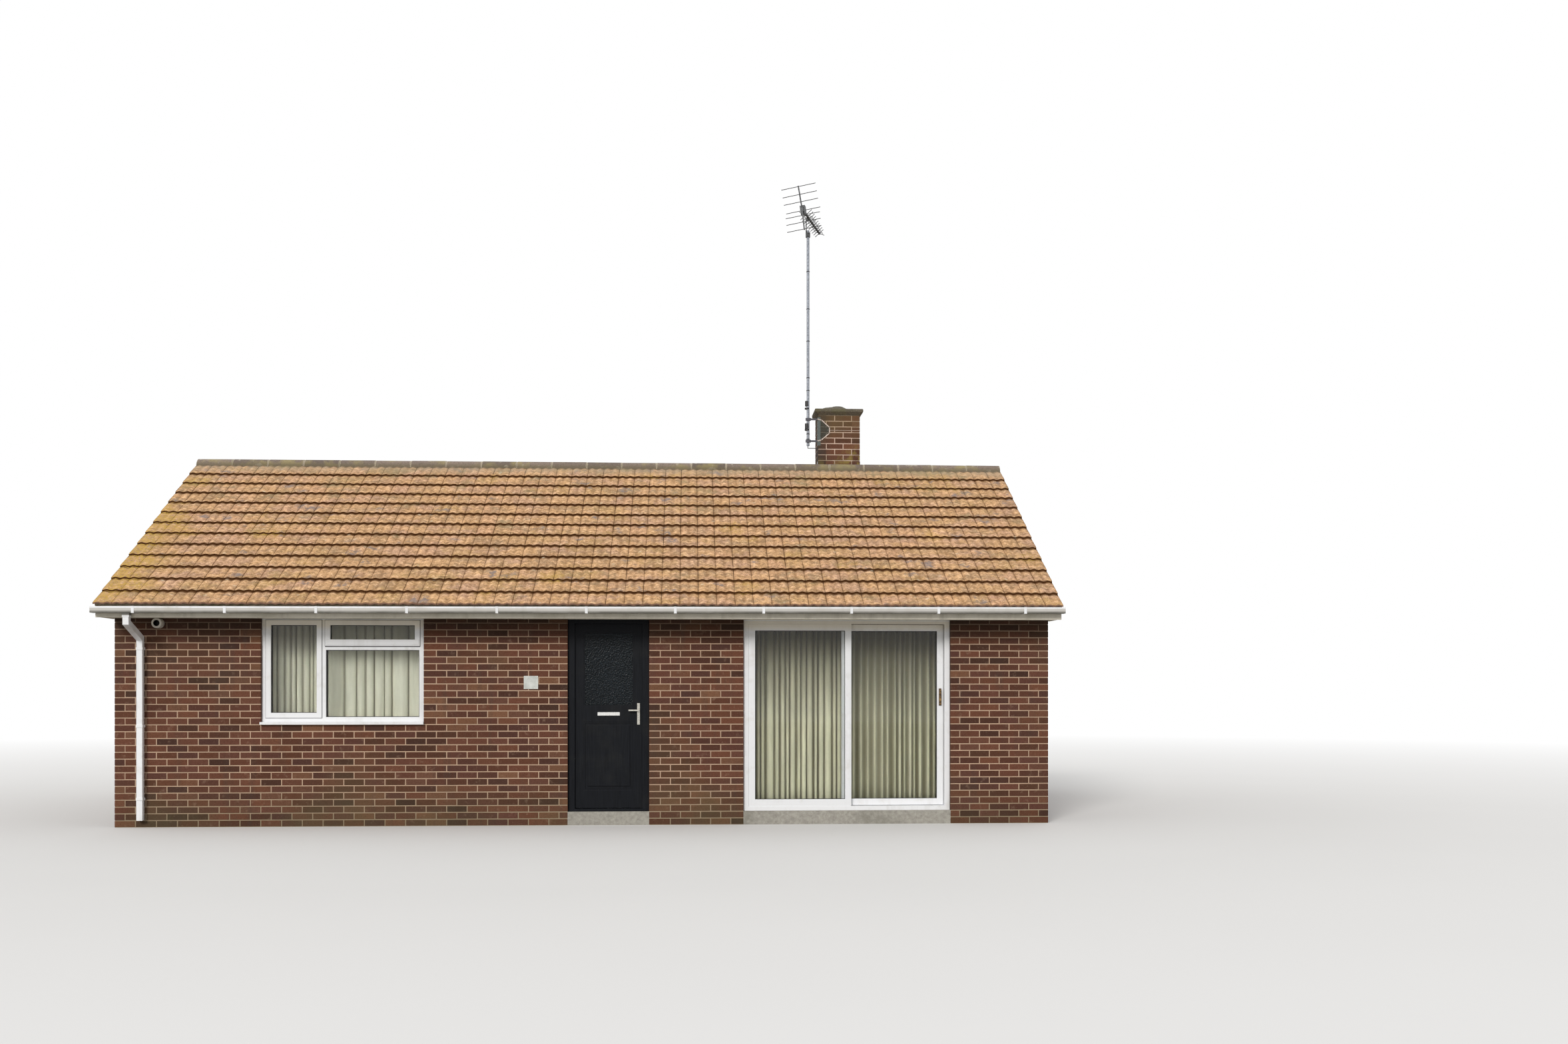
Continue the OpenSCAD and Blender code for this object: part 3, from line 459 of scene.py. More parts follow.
class EffectGroup(Nodes):
    """A node group with one output, built once and used by several materials with their own values."""

    def __init__(self, name, output, **inputs):
        super().__init__(bpy.data.node_groups.new(name, "ShaderNodeTree"))
        for label, value in inputs.items():
            kind = "NodeSocketFloat" if isinstance(value, float) else "NodeSocketColor"
            self.tree.interface.new_socket(label, in_out="INPUT", socket_type=kind).default_value = value
        kind = "NodeSocketColor" if output == "Colour" else "NodeSocketFloat"
        self.tree.interface.new_socket(output, in_out="OUTPUT", socket_type=kind)
        self.given = self.node("NodeGroupInput").outputs
        self.target = self.node("NodeGroupOutput").inputs[0]

    def give(self, value):
        """Feeds the group's output."""
        self.feed(self.target, value)


class Finish(Nodes):
    """A material with one Principled shader, whose body colour is built up in layers."""

    def __init__(self, name, roughness=0.5, **inputs):
        self.material = bpy.data.materials.new(name)
        self.material.use_nodes = True
        super().__init__(self.material.node_tree)
        self.body = None
        self.shader = self.tree.nodes["Principled BSDF"]
        self.shader.inputs["Roughness"].default_value = roughness
        for label, value in inputs.items():
            self.shader.inputs[label.replace("_", " ")].default_value = value

    def tone(self):
        """The tone that each stamped brick or tile keeps on its faces."""
        return self.node("ShaderNodeAttribute", attribute_name="tone").outputs["Fac"]

    def uv(self):
        """The piece's UV map as U and V."""
        return self.axes(self.node("ShaderNodeUVMap", uv_map="UVMap").outputs[0])[:2]

    def group(self, name, **inputs):
        """The output of a shared effect."""
        made = self.node("ShaderNodeGroup", node_tree=bpy.data.node_groups[name])
        for label, value in inputs.items():
            self.feed(made.inputs[label], value)
        return made.outputs[0]

    def paint(self, mask, tint):
        """Lays a colour over the body where a mask says."""
        self.body = self.mix(mask, self.body, tint)

    def fade(self, value, low, high, start, end, tint):
        """Paints by a value: the cover goes from start at low to end at high."""
        self.paint(self.span(value, low, high, start, end), tint)

    def stain(self, tint, scale, low, high, amount):
        """Lays cloudy stains over the body."""
        self.body = self.group("Stain", Colour=self.body, Stain=tint, Scale=scale, Low=low, High=high,
                               Amount=amount)

    def streak(self, tint, amount):
        """Lays rain streaks over the body."""
        self.body = self.group("Rain streaks", Colour=self.body, Streak=tint, Amount=amount)

    def gritty(self, height, scale, amount):
        """A height with fine grit on it."""
        return self.plus(self.times(self.group("Grit", Scale=scale), amount), height)

    def done(self, relief, roughness=None):
        """Feeds the shader and returns the material."""
        self.feed(self.shader.inputs["Base Color"], self.body)
        self.feed(self.shader.inputs["Normal"], relief)
        if roughness is not None:
            self.feed(self.shader.inputs["Roughness"], roughness)
        return self.material


def shade(base, factor):
    """A colour made lighter or darker."""
    return tuple(min(1.0, c * factor) for c in base)


def make_effects():
    """Builds the effects that several finishes share."""
    grey = (0.5, 0.5, 0.5, 1.0)
    m = EffectGroup("Stain", "Colour", Colour=grey, Stain=grey, Scale=2.0, Low=0.5, High=0.7, Amount=1.0)
    cloud = m.noise(m.given["Scale"], 6.0, 0.6)
    mask = m.times(m.span(cloud, m.given["Low"], m.given["High"]), m.given["Amount"])
    m.give(m.mix(mask, m.given["Colour"], m.given["Stain"]))

    m = EffectGroup("Rain streaks", "Colour", Colour=grey, Streak=grey, Amount=0.4)
    runs = m.noise(9.0, 3.0, 0.6, m.stretched((1.0, 1.0, 0.09)))
    gaps = m.noise(2.2, 3.0, 0.5)
    mask = m.times(m.span(runs, 0.5, 0.72), m.span(gaps, 0.35, 0.65), m.given["Amount"])
    m.give(m.mix(mask, m.given["Colour"], m.given["Streak"]))

    m = EffectGroup("Grit", "Height", Scale=300.0)
    m.give(m.noise(m.given["Scale"], 3.0, 0.7))

    # Painted shade on the front and rear walls under the eaves, not on the gables
    m = EffectGroup("Eaves shade", "Mask", Amount=1.0)
    x, y, z = m.axes()
    wall = m.times(m.above(m.size(y), 2.97), m.below(m.size(x), HALF_W + 0.002))
    m.give(m.times(m.span(z, 2.0, 2.25), wall, m.given["Amount"]))

    # A darker patch on the chimney's front inside the V of the lashing strap
    m = EffectGroup("Strap V dark", "Mask", Amount=1.0)
    x, y, z = m.axes()
    along = m.minus(x, STACK[0])
    rise = m.size(m.minus(z, STRAP_Z))
    inside = m.span(m.calc("MULTIPLY_ADD", along, 0.82, rise), 0.155, 0.172, 1.0, 0.0)
    beside = m.below(m.size(m.minus(along, 0.07)), 0.08)
    front = m.below(m.size(m.minus(y, STACK[2])), 0.02)
    m.give(m.times(inside, beside, front, m.given["Amount"]))


# Finishes of the walls

def brick_finish(colours):
    """Bricks: one tone a brick, a sandy face, grime, painted shade under the eaves and a green foot."""
    m = Finish("brick_faces", Specular_IOR_Level=0.25)
    mid, light = colours.brick_mid, colours.brick_light
    tone = m.tone()
    m.body = m.ramp(tone, (0.0, colours.brick_dark), (0.28, shade(mid, 0.68)), (0.55, mid),
                    (0.78, shade(mid, 1.22)), (0.93, shade(light, 0.8)), (1.0, light))
    # A second share of the tone turns some bricks plum and others orange
    hue = m.calc("FRACT", m.times(tone, 37.0))
    m.fade(hue, 0.5, 1.0, 0.0, 0.55, (0.1, 0.042, 0.034))
    m.fade(hue, 0.0, 0.35, 0.3, 0.0, (0.17, 0.066, 0.031))
    speck = m.noise(70.0, 5.0, 0.7)
    m.fade(speck, 0.5, 0.72, 0.0, 0.55, shade(mid, 0.42))
    m.fade(speck, 0.28, 0.42, 0.3, 0.0, (0.26, 0.14, 0.09))
    smear = m.noise(13.0, 5.0, 0.65)
    m.fade(smear, 0.6, 0.8, 0.0, 0.3, colours.mortar)
    x, _, z = m.axes()
    broad = m.noise(0.9, 4.0, 0.6)
    m.fade(broad, 0.52, 0.68, 0.0, 0.4, (0.095, 0.062, 0.034))
    foot = m.times(m.span(z, 0.05, 0.6, 1.0, 0.0), m.span(broad, 0.35, 0.65))
    m.paint(m.times(foot, 0.5), (0.075, 0.075, 0.035))
    # Painted shade under the eaves
    m.paint(m.group("Eaves shade", Amount=0.66), (0.026, 0.015, 0.008))
    # On the chimney: olive grime under the cap, darker at the left, golden moss at the foot
    stack = m.span(z, 4.3, 4.4)
    patch = m.noise(5.0, 5.0, 0.65)
    upper = m.times(m.span(z, 4.8, 5.05, 0.12, 0.85), m.span(patch, 0.3, 0.55, 0.5, 1.0))
    m.paint(m.times(stack, upper), (0.125, 0.082, 0.038))
    darker_left = m.times(m.span(x, STACK[0], STACK[0] + 0.2, 1.0, 0.0), m.span(patch, 0.35, 0.6, 0.4, 1.0))
    m.paint(m.times(m.times(stack, darker_left), 0.75), (0.045, 0.042, 0.034))
    foot = m.span(m.plus(z, m.span(x, 3.0, 3.3, 0.1, -0.1)), 4.5, 4.72, 1.0, 0.0)
    m.paint(m.times(stack, foot, m.span(smear, 0.45, 0.56), 0.8), (0.26, 0.19, 0.05))
    # Darker inside the V of the lashing strap
    m.paint(m.group("Strap V dark", Amount=0.85), (0.05, 0.052, 0.042))
    m.streak((0.06, 0.045, 0.035), 0.45)
    return m.done(m.bump(m.gritty(speck, 420.0, 0.35), 0.0028, 0.8), m.span(speck, 0.3, 0.7, 0.82, 0.97))


def mortar_finish(name, base, plastered):
    """Mortar between the bricks, and the plaster on the inner face of a wall."""
    m = Finish(name, 0.95)
    grain = m.noise(240.0, 3.0, 0.7)
    m.body = m.ramp(grain, (0.25, shade(base, 0.62)), (0.5, base), (0.75, shade(base, 1.22)))
    m.stain(shade(base, 0.55), 2.4, 0.45, 0.75, 0.6)
    x, y, z = m.axes()
    m.fade(z, 0.03, 0.5, 0.6, 0.0, (0.12, 0.12, 0.06))
    # Painted shade under the eaves
    m.paint(m.group("Eaves shade", Amount=0.82), shade(base, 0.17))
    # On the chimney: grime under the cap and moss at the foot
    patch = m.noise(6.0, 5.0, 0.65)
    upper = m.times(m.span(z, 4.85, 5.05, 0.0, 0.8), m.span(patch, 0.35, 0.55, 0.6, 1.0))
    m.paint(upper, (0.34, 0.255, 0.15))
    foot = m.times(m.span(z, 4.3, 4.4), m.span(z, 4.5, 4.72, 0.85, 0.0), m.span(patch, 0.4, 0.55))
    m.paint(foot, (0.2, 0.15, 0.06))
    # Darker inside the V of the lashing strap
    m.paint(m.group("Strap V dark", Amount=0.85), (0.095, 0.098, 0.082))
    if plastered:
        inside = m.times(m.below(m.size(x), ROOM[0]), m.below(m.size(y), ROOM[1]), m.below(z, ROOM[2]))
        m.paint(inside, m.ramp(m.noise(6.0, 4.0, 0.6), (0.3, (0.62, 0.6, 0.53)), (0.7, (0.69, 0.67, 0.6))))
    return m.done(m.bump(grain, 0.002, 0.7))


def plaque_finish():
    """Pale glazed pottery of the bare wall plaque."""
    m = Finish("plaque_glaze", 0.25)
    m.body = m.ramp(m.noise(18.0, 4.0, 0.6), (0.3, (0.5, 0.52, 0.49)), (0.7, (0.72, 0.74, 0.71)))
    m.fade(m.cells(70.0, "DISTANCE_TO_EDGE"), 0.0, 0.02, 0.4, 0.0, (0.3, 0.3, 0.26))
    return m.done(m.bump(m.noise(30.0, 3.0, 0.5), 0.0008, 0.4))


def flue_finish():
    """Pale ring of the flue terminal, with its bore painted near black as shade."""
    m = Finish("flue_plastic", 0.5)
    low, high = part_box("flue_terminal")
    x, _, z = m.axes()
    across = m.calc("POWER", m.minus(x, (low.x + high.x) / 2), 2.0)
    upward = m.calc("POWER", m.minus(z, (low.z + high.z) / 2), 2.0)
    radius = m.calc("SQRT", m.plus(across, upward))
    m.body = m.ramp(m.noise(22.0, 4.0, 0.6), (0.3, (0.5, 0.475, 0.42)), (0.7, (0.74, 0.71, 0.64)))
    # Painted shade: the bore near black
    m.fade(radius, 0.0332, 0.0342, 1.0, 0.0, (0.008, 0.008, 0.008))
    return m.done(m.bump(m.noise(50.0, 3.0, 0.6), 0.0006, 0.4))


# Finishes of the roof

def tile_finish(base, lichen):
    """Roof tiles: one tone a tile, dark valleys and noses partly from painted shade, a painted shadow under
    each course, lichen and moss.
    """
    m = Finish("tile_faces", Specular_IOR_Level=0.15)
    m.body = m.ramp(m.tone(), (0.0, shade(base, 0.72)), (0.2, shade(base, 0.92)), (0.5, base),
                    (0.75, (0.655, 0.375, 0.215)), (0.9, shade(base, 0.99)), (1.0, shade(base, 1.16)))
    u, v = m.uv()
    x, y, z = m.axes()
    # Soft weathering, wider than a tile
    weather = m.noise(4.2, 6.0, 0.72)
    m.fade(weather, 0.5, 0.6, 0.0, 0.7, (0.38, 0.255, 0.155))
    m.fade(weather, 0.36, 0.46, 0.6, 0.0, (0.8, 0.47, 0.23))
    pink = m.noise(2.3, 5.0, 0.66, m.stretched((1.0, 1.3, 1.3), (0.4, 0.9, 0.2)))
    m.fade(pink, 0.5, 0.6, 0.0, 0.55, (0.58, 0.35, 0.26))
    olive = m.noise(1.7, 5.0, 0.66, m.stretched((1.0, 1.2, 1.2), (3.1, 5.2, 1.7)))
    m.fade(olive, 0.54, 0.62, 0.0, 0.38, (0.5, 0.33, 0.11))
    # Specks and grain
    speck = m.noise(52.0, 6.0, 0.74)
    grain = m.noise(17.0, 6.0, 0.74)
    m.fade(speck, 0.5, 0.68, 0.0, 0.8, shade(base, 0.42))
    m.fade(grain, 0.5, 0.6, 0.0, 0.75, shade(base, 0.42))
    m.fade(grain, 0.38, 0.46, 0.75, 0.0, (0.95, 0.62, 0.36))
    m.fade(speck, 0.32, 0.43, 0.75, 0.0, (0.97, 0.69, 0.44))
    # Grey scabs on a few tiles
    scab = m.span(m.noise(2.9, 3.0, 0.5, m.stretched((1, 1, 1), (7.0, 2.0, 4.0))), 0.62, 0.68)
    m.paint(m.times(m.times(scab, m.span(m.noise(13.0, 4.0, 0.6), 0.42, 0.55)), 0.75), (0.23, 0.2, 0.2))
    # Growth along the side laps and over the noses; in the valleys, growth and painted shade
    growth = m.noise(14.0, 5.0, 0.65, m.stretched((1.0, 0.45, 0.45)))
    valley = m.span(m.calc("COSINE", m.times(u, 4 * math.pi)), 0.1, 1.0)
    m.paint(m.times(valley, m.span(growth, 0.42, 0.62, 0.1, 0.5)), (0.22, 0.11, 0.045))
    side = m.span(m.size(m.minus(u, 0.5)), 0.475, 0.495)
    m.paint(m.times(side, m.span(growth, 0.35, 0.6, 0.15, 0.65)), (0.14, 0.065, 0.025))
    nose = m.span(v, 0.0, 0.07, 1.0, 0.0)
    m.paint(m.times(nose, m.span(growth, 0.38, 0.6, 0.15, 0.7)), (0.17, 0.09, 0.035))
    # Painted shadow under the nose of the next course
    lapped = GAUGE / (GAUGE + TILE_LAP)
    m.fade(v, lapped - 0.15, lapped - 0.06, 0.0, 0.95, (0.085, 0.031, 0.006))
    # Golden lichen, strongest at the left end of the front
    left = m.times(m.span(x, -5.3, -4.3, 0.26, 0.0), m.span(y, -0.5, -1.5))
    golden = m.span(m.plus(m.noise(1.3, 6.0, 0.62), left), 0.6, 0.76)
    m.paint(m.times(golden, m.span(m.noise(31.0, 5.0, 0.7), 0.4, 0.56), 0.85), lichen)
    # A greyer top course, and grey-green moss near the ridge
    course = m.times(m.span(z, 4.27, 4.36, 0.0, 0.6), m.span(growth, 0.35, 0.6, 0.4, 1.0))
    m.paint(course, (0.42, 0.34, 0.24))
    high = m.span(z, 3.7, 4.5, 0.0, 0.12)
    moss = m.span(m.plus(m.noise(2.1, 6.0, 0.65), high), 0.6, 0.76)
    m.paint(m.times(moss, 0.5), (0.3, 0.25, 0.13))
    # Pale round spots
    spot = m.times(m.span(m.cells(7.0), 0.0, 0.2, 1.0, 0.0), m.span(m.noise(3.1, 3.0, 0.5), 0.52, 0.6))
    m.paint(m.times(spot, 0.6), (0.78, 0.7, 0.52))
    # The noses' own faces, dark with dirt and painted shade, paler in the first course over the gutter
    rim = m.mix(m.below(z, 2.5), (0.075, 0.027, 0.006), (0.3, 0.17, 0.12))
    m.paint(m.below(v, -0.05), rim)
    return m.done(m.bump(m.gritty(speck, 330.0, 0.4), 0.003, 0.75), m.span(speck, 0.3, 0.7, 0.8, 0.97))


def ridge_finish(base, pitch):
    """Ridge tiles, with mortar smeared over the ends of each."""
    m = Finish("ridge_faces", 0.9)
    m.body = m.ramp(m.tone(), (0.0, shade(base, 0.7)), (0.6, base), (1.0, shade(base, 1.4)))
    speck = m.noise(45.0, 6.0, 0.72)
    m.fade(speck, 0.45, 0.75, 0.0, 0.8, shade(base, 0.4))
    m.stain((0.36, 0.3, 0.12), 3.1, 0.5, 0.62, 0.6)
    m.stain((0.52, 0.47, 0.36), 11.0, 0.6, 0.68, 0.6)
    x, _, z = m.axes()
    joint = m.calc("PINGPONG", m.plus(x, ROOF_X), pitch / 2)
    edge = m.plus(joint, m.span(m.noise(30.0, 4.0, 0.6), 0.3, 0.7, -0.006, 0.006))
    smear = m.span(edge, 0.012, 0.016, 0.85, 0.0)
    m.paint(smear, (0.42, 0.36, 0.27))
    # Painted shade along the lower edges of the ridge tiles
    m.fade(z, 4.42, 4.47, 0.7, 0.0, (0.13, 0.105, 0.06))
    return m.done(m.bump(m.plus(speck, smear), 0.004, 0.8))


def gutter_finish(base):
    """Rainwater goods: older plastic with green-grey streaks and stains, and painted shade on the trough's
    lower face.
    """
    m = Finish("gutter_plastic", 0.42)
    m.body = base
    m.streak((0.36, 0.34, 0.27), 0.35)
    m.stain((0.42, 0.385, 0.3), 4.2, 0.5, 0.72, 0.4)
    # Painted shade: the trough's face is greyer towards its lower edge, measured from the falling rim
    x, y, z = m.axes()
    rim = m.calc("MULTIPLY_ADD", m.times(x, m.calc("SIGN", y)), -GUTTER_SLOPE, GUTTER_Z)
    drop = m.minus(rim, z)
    above_foot = m.span(drop, 0.09, 0.1, 1.0, 0.0)
    m.paint(m.times(m.span(drop, 0.014, 0.02, 0.0, 0.7), above_foot), (0.43, 0.4, 0.345))
    cover = m.span(m.noise(2.5, 4.0, 0.6), 0.3, 0.6, 0.72, 0.95)
    m.paint(m.times(m.span(drop, 0.038, 0.058), above_foot, cover), (0.09, 0.085, 0.066))
    return m.done(m.bump(m.noise(50.0, 3.0, 0.6), 0.0004, 0.4))


def board_finish():
    """Fascias and soffits, grooved along the house."""
    m = Finish("eaves_boards", 0.5)
    m.body = (0.84, 0.79, 0.67)
    m.streak((0.32, 0.28, 0.2), 0.5)
    m.stain((0.46, 0.42, 0.3), 3.6, 0.48, 0.72, 0.5)
    groove = m.span(m.calc("PINGPONG", m.axes()[1], 0.05), 0.0, 0.0025)
    return m.done(m.bump(groove, 0.002, 0.8))


def timber_finish():
    """Sawn timber of the roof."""
    m = Finish("sawn_timber", 0.8)
    rings = m.noise(4.0, 6.0, 0.7, m.stretched((3.0, 0.5, 9.0)))
    m.body = m.ramp(rings, (0.3, (0.27, 0.16, 0.08)), (0.5, (0.42, 0.27, 0.14)), (0.75, (0.53, 0.36, 0.2)))
    return m.done(m.bump(rings, 0.002, 0.6))


# Finishes of the windows and doors

def plastic_finish(base):
    """White plastic of frames, sills and leaves, with painted shade, warm and darker, along their heads."""
    m = Finish("white_plastic")
    m.body = base
    m.streak((0.4, 0.38, 0.33), 0.3)
    m.stain((0.55, 0.53, 0.47), 7.0, 0.54, 0.74, 0.3)
    z = m.axes()[2]
    # Painted shade along the frames' heads under the eaves
    m.paint(m.times(m.span(z, 2.16, 2.22, 0.0, 0.5), m.below(z, 2.284)), (0.8, 0.7, 0.5))
    wear = m.noise(60.0, 3.0, 0.6)
    return m.done(m.bump(wear, 0.0003, 0.4), m.span(wear, 0.3, 0.7, 0.26, 0.42))


def glass_finish():
    """Clear glass with a thin film of dirt."""
    m = Finish("window_glass", Transmission_Weight=1.0, IOR=1.3)
    m.body = m.ramp(m.noise(1.4, 2.0, 0.5), (0.3, (0.965, 0.985, 0.975)), (0.7, (0.985, 0.995, 0.99)))
    film = m.span(m.noise(5.0, 4.0, 0.6), 0.45, 0.8, 0.02, 0.12)
    return m.done(m.bump(m.noise(1.1, 1.0, 0.4), 0.0012, 0.25), film)


def obscured_finish():
    """Rippled dark glass of the front door."""
    m = Finish("obscured_glass", 0.28, Transmission_Weight=0.7, IOR=1.25, Specular_IOR_Level=0.2)
    ripple = m.cells(55.0)
    m.body = m.ramp(ripple, (0.0, (0.008, 0.011, 0.015)), (0.6, (0.021, 0.028, 0.034)))
    return m.done(m.bump(ripple, 0.004, 0.9))


def door_finish(base):
    """Dark paint over an upright grain."""
    m = Finish("door_paint", Specular_IOR_Level=0.12)
    grain = m.noise(7.0, 5.0, 0.65, m.stretched((9.0, 9.0, 0.5)))
    m.body = m.ramp(grain, (0.3, shade(base, 0.75)), (0.7, shade(base, 1.5)))
    m.stain((0.025, 0.025, 0.022), 3.0, 0.55, 0.75, 0.3)
    return m.done(m.bump(grain, 0.0006, 0.5), m.span(grain, 0.3, 0.7, 0.34, 0.5))


def bronze_finish():
    """Worn bronze of the patio door's handle, brassy where hands rub it."""
    m = Finish("bronze_handle", Metallic=0.7)
    grain = m.noise(120.0, 4.0, 0.65)
    m.body = m.ramp(grain, (0.3, (0.045, 0.025, 0.014)), (0.7, (0.12, 0.07, 0.035)))
    m.fade(m.noise(26.0, 4.0, 0.6), 0.5, 0.6, 0.0, 0.8, (0.5, 0.3, 0.1))
    return m.done(m.bump(grain, 0.0004, 0.4), m.span(grain, 0.3, 0.7, 0.25, 0.45))


def cloth_finish(name, base, hollow, reach, top_shade, height):
    """Woven cloth, with painted shade in the hollows of its folds and painted shade towards its top."""
    m = Finish(name, 0.95, Sheen_Weight=0.25, Sheen_Roughness=0.5)
    weft, warp = (m.calc("SINE", m.times(way, 2 * math.pi * 900)) for way in m.uv())
    weave = m.times(weft, warp)
    slub = m.noise(14.0, 5.0, 0.6, m.stretched((1.0, 1.0, 0.12)))
    m.body = m.ramp(slub, (0.3, shade(base, 0.82)), (0.7, shade(base, 1.12)))
    m.fade(weave, -1.0, 1.0, 0.16, 0.0, shade(base, 0.6))
    m.stain(shade(base, 0.7), 1.6, 0.45, 0.8, 0.5)
    _, y, z = m.axes()
    # Painted shade in the hollows of the folds, and towards the top
    m.body = m.mix(m.span(m.size(y), CLOTH_Y - 0.019, CLOTH_Y + reach), hollow, m.body)
    m.fade(z, *height, top_shade)
    return m.done(m.bump(weave, 0.0003, 0.35))


# Finishes of the metals

def metal_finish(name, low, high, scale, rough, metallic):
    """Blotched metal with brown stains."""
    m = Finish(name, Metallic=metallic)
    grain = m.noise(scale * 3, 4.0, 0.65)
    blotch = m.times(m.cells(scale, "SMOOTH_F1"), 0.6)
    m.body = m.ramp(m.plus(blotch, m.times(grain, 0.5)), (0.25, low), (0.65, high))
    m.stain((0.16, 0.11, 0.07), 9.0, 0.62, 0.78, 0.5)
    return m.done(m.bump(grain, 0.0006, 0.4), m.span(grain, 0.3, 0.7, rough * 0.8, rough * 1.3))


def bracket_finish():
    """The bracket: dark arms, then a grey-green corner plate, dark wires and a pale band to the right."""
    m = Finish("bracket_steel", 0.6, Metallic=0.3)
    grain = m.noise(60.0, 4.0, 0.65)
    x = m.minus(m.axes()[0], STACK[0])
    m.body = m.ramp(grain, (0.3, (0.05, 0.05, 0.06)), (0.7, (0.12, 0.12, 0.14)))
    for start, low, high in ((-0.0052, (0.06, 0.075, 0.07), (0.115, 0.135, 0.127)),
                             (0.0305, (0.045, 0.047, 0.038), (0.07, 0.072, 0.06)),
                             (0.15, (0.34, 0.27, 0.22), (0.48, 0.39, 0.33))):
        m.paint(m.above(x, start), m.ramp(grain, (0.3, low), (0.7, high)))
    return m.done(m.bump(grain, 0.0006, 0.4))


def strap_finish():
    """Galvanized strap that lashes the bracket to the chimney."""
    m = Finish("lashing_strap", 0.6)
    m.body = m.ramp(m.noise(40.0, 4.0, 0.65), (0.3, (0.42, 0.345, 0.3)), (0.7, (0.66, 0.57, 0.51)))
    return m.done(m.bump(m.noise(70.0, 3.0, 0.6), 0.0006, 0.4))


def grain_finish(name, roughness, noise, stops, relief, stain=None):
    """A finish of one grain, which gives both its colours and its relief."""
    m = Finish(name, roughness)
    grain = m.noise(*noise)
    m.body = m.ramp(grain, *stops)
    if stain:
        m.stain(*stain)
    return m.done(m.bump(grain, *relief))


# Material name, darkest and lightest colour, scale of the blotches, roughness and metallic
METALS = {
    "steel": ("mast_steel", (0.2, 0.215, 0.24), (0.36, 0.385, 0.43), 45.0, 0.55, 1.0),
    "aluminium": ("aerial_aluminium", (0.035, 0.036, 0.038), (0.11, 0.115, 0.12), 60.0, 0.5, 0.5),
    "satin": ("satin_fittings", (0.42, 0.4, 0.36), (0.66, 0.64, 0.58), 80.0, 0.3, 1.0),
    "bright": ("bright_plate", (0.7, 0.7, 0.69), (0.86, 0.86, 0.85), 80.0, 0.35, 0.4),
    "lead": ("flashing_lead", (0.17, 0.17, 0.175), (0.34, 0.34, 0.35), 12.0, 0.6, 0.6),
}

# Material name, roughness, noise, colour stops, bump, and a stain where there is one
GRAINS = {
    "cement": ("cement_bedding", 0.95, (55.0, 5.0, 0.7),
               ((0.25, (0.2, 0.165, 0.12)), (0.5, (0.42, 0.35, 0.26)), (0.8, (0.55, 0.47, 0.37))),
               (0.005, 0.8), ((0.2, 0.19, 0.09), 4.0, 0.5, 0.65, 0.7)),
    "cap": ("cap_concrete", 0.93, (48.0, 6.0, 0.72),
            ((0.25, (0.055, 0.049, 0.036)), (0.55, (0.125, 0.108, 0.08)), (0.8, (0.27, 0.24, 0.185))),
            (0.006, 0.9), ((0.12, 0.112, 0.055), 5.5, 0.45, 0.6, 0.6)),
    "concrete": ("floor_concrete", 0.85, (24.0, 6.0, 0.7),
                 ((0.3, (0.26, 0.245, 0.215)), (0.7, (0.44, 0.42, 0.37))),
                 (0.003, 0.7), ((0.16, 0.155, 0.12), 2.0, 0.5, 0.7, 0.6)),
    "plaster": ("ceiling_plaster", 0.9, (30.0, 5.0, 0.6),
                ((0.3, (0.66, 0.65, 0.61)), (0.7, (0.74, 0.73, 0.69))), (0.001, 0.4)),
    "felt": ("roofing_felt", 0.95, (80.0, 5.0, 0.7),
             ((0.3, (0.02, 0.018, 0.016)), (0.7, (0.05, 0.046, 0.04))), (0.002, 0.6)),
    "rubber": ("black_rubber", 0.55, (90.0, 3.0, 0.6),
               ((0.3, (0.012, 0.012, 0.013)), (0.7, (0.035, 0.035, 0.037))), (0.0005, 0.4)),
}


def make_finishes(sizes, colours):
    """Every material of the house, by name."""
    make_effects()
    made = {
        "brick": brick_finish(colours),
        "wall": mortar_finish("wall_mortar", colours.mortar, True),
        "stack": mortar_finish("stack_mortar", (0.6, 0.45, 0.365), False),
        "glaze": plaque_finish(),
        "flue": flue_finish(),
        "tile": tile_finish(colours.tile, colours.lichen),
        "ridge": ridge_finish(colours.ridge, 2 * ROOF_X / sizes.ridge_count),
        "gutter": gutter_finish(shade(colours.plastic, 1.03)),
        "board": board_finish(),
        "timber": timber_finish(),
        "plastic": plastic_finish(colours.plastic),
        "glass": glass_finish(),
        "frosted": obscured_finish(),
        "door": door_finish(colours.door),
        "bronze": bronze_finish(),
        "curtain": cloth_finish("curtain_cloth", colours.curtain, (0.27, 0.25, 0.165), 0.004,
                                (0.15, 0.12, 0.055), (1.86, 2.12, 0.0, 0.62)),
        "net": cloth_finish("blind_cloth", colours.net, (0.17, 0.15, 0.08), 0.012,
                            (0.09, 0.075, 0.035), (1.15, 2.1, 0.0, 0.9)),
        "bracket": bracket_finish(),
        "strap": strap_finish(),
    }
    made.update((name, metal_finish(*values)) for name, values in METALS.items())
    made.update((name, grain_finish(*values)) for name, values in GRAINS.items())
    return made


FINISHES = {}


def finish(name):
    """One of the materials, made at its first use."""
    if not FINISHES:
        scene = bpy.context.scene
        FINISHES.update(make_finishes(scene.bungalow_sizes, scene.bungalow_colours))
    return FINISHES[name]


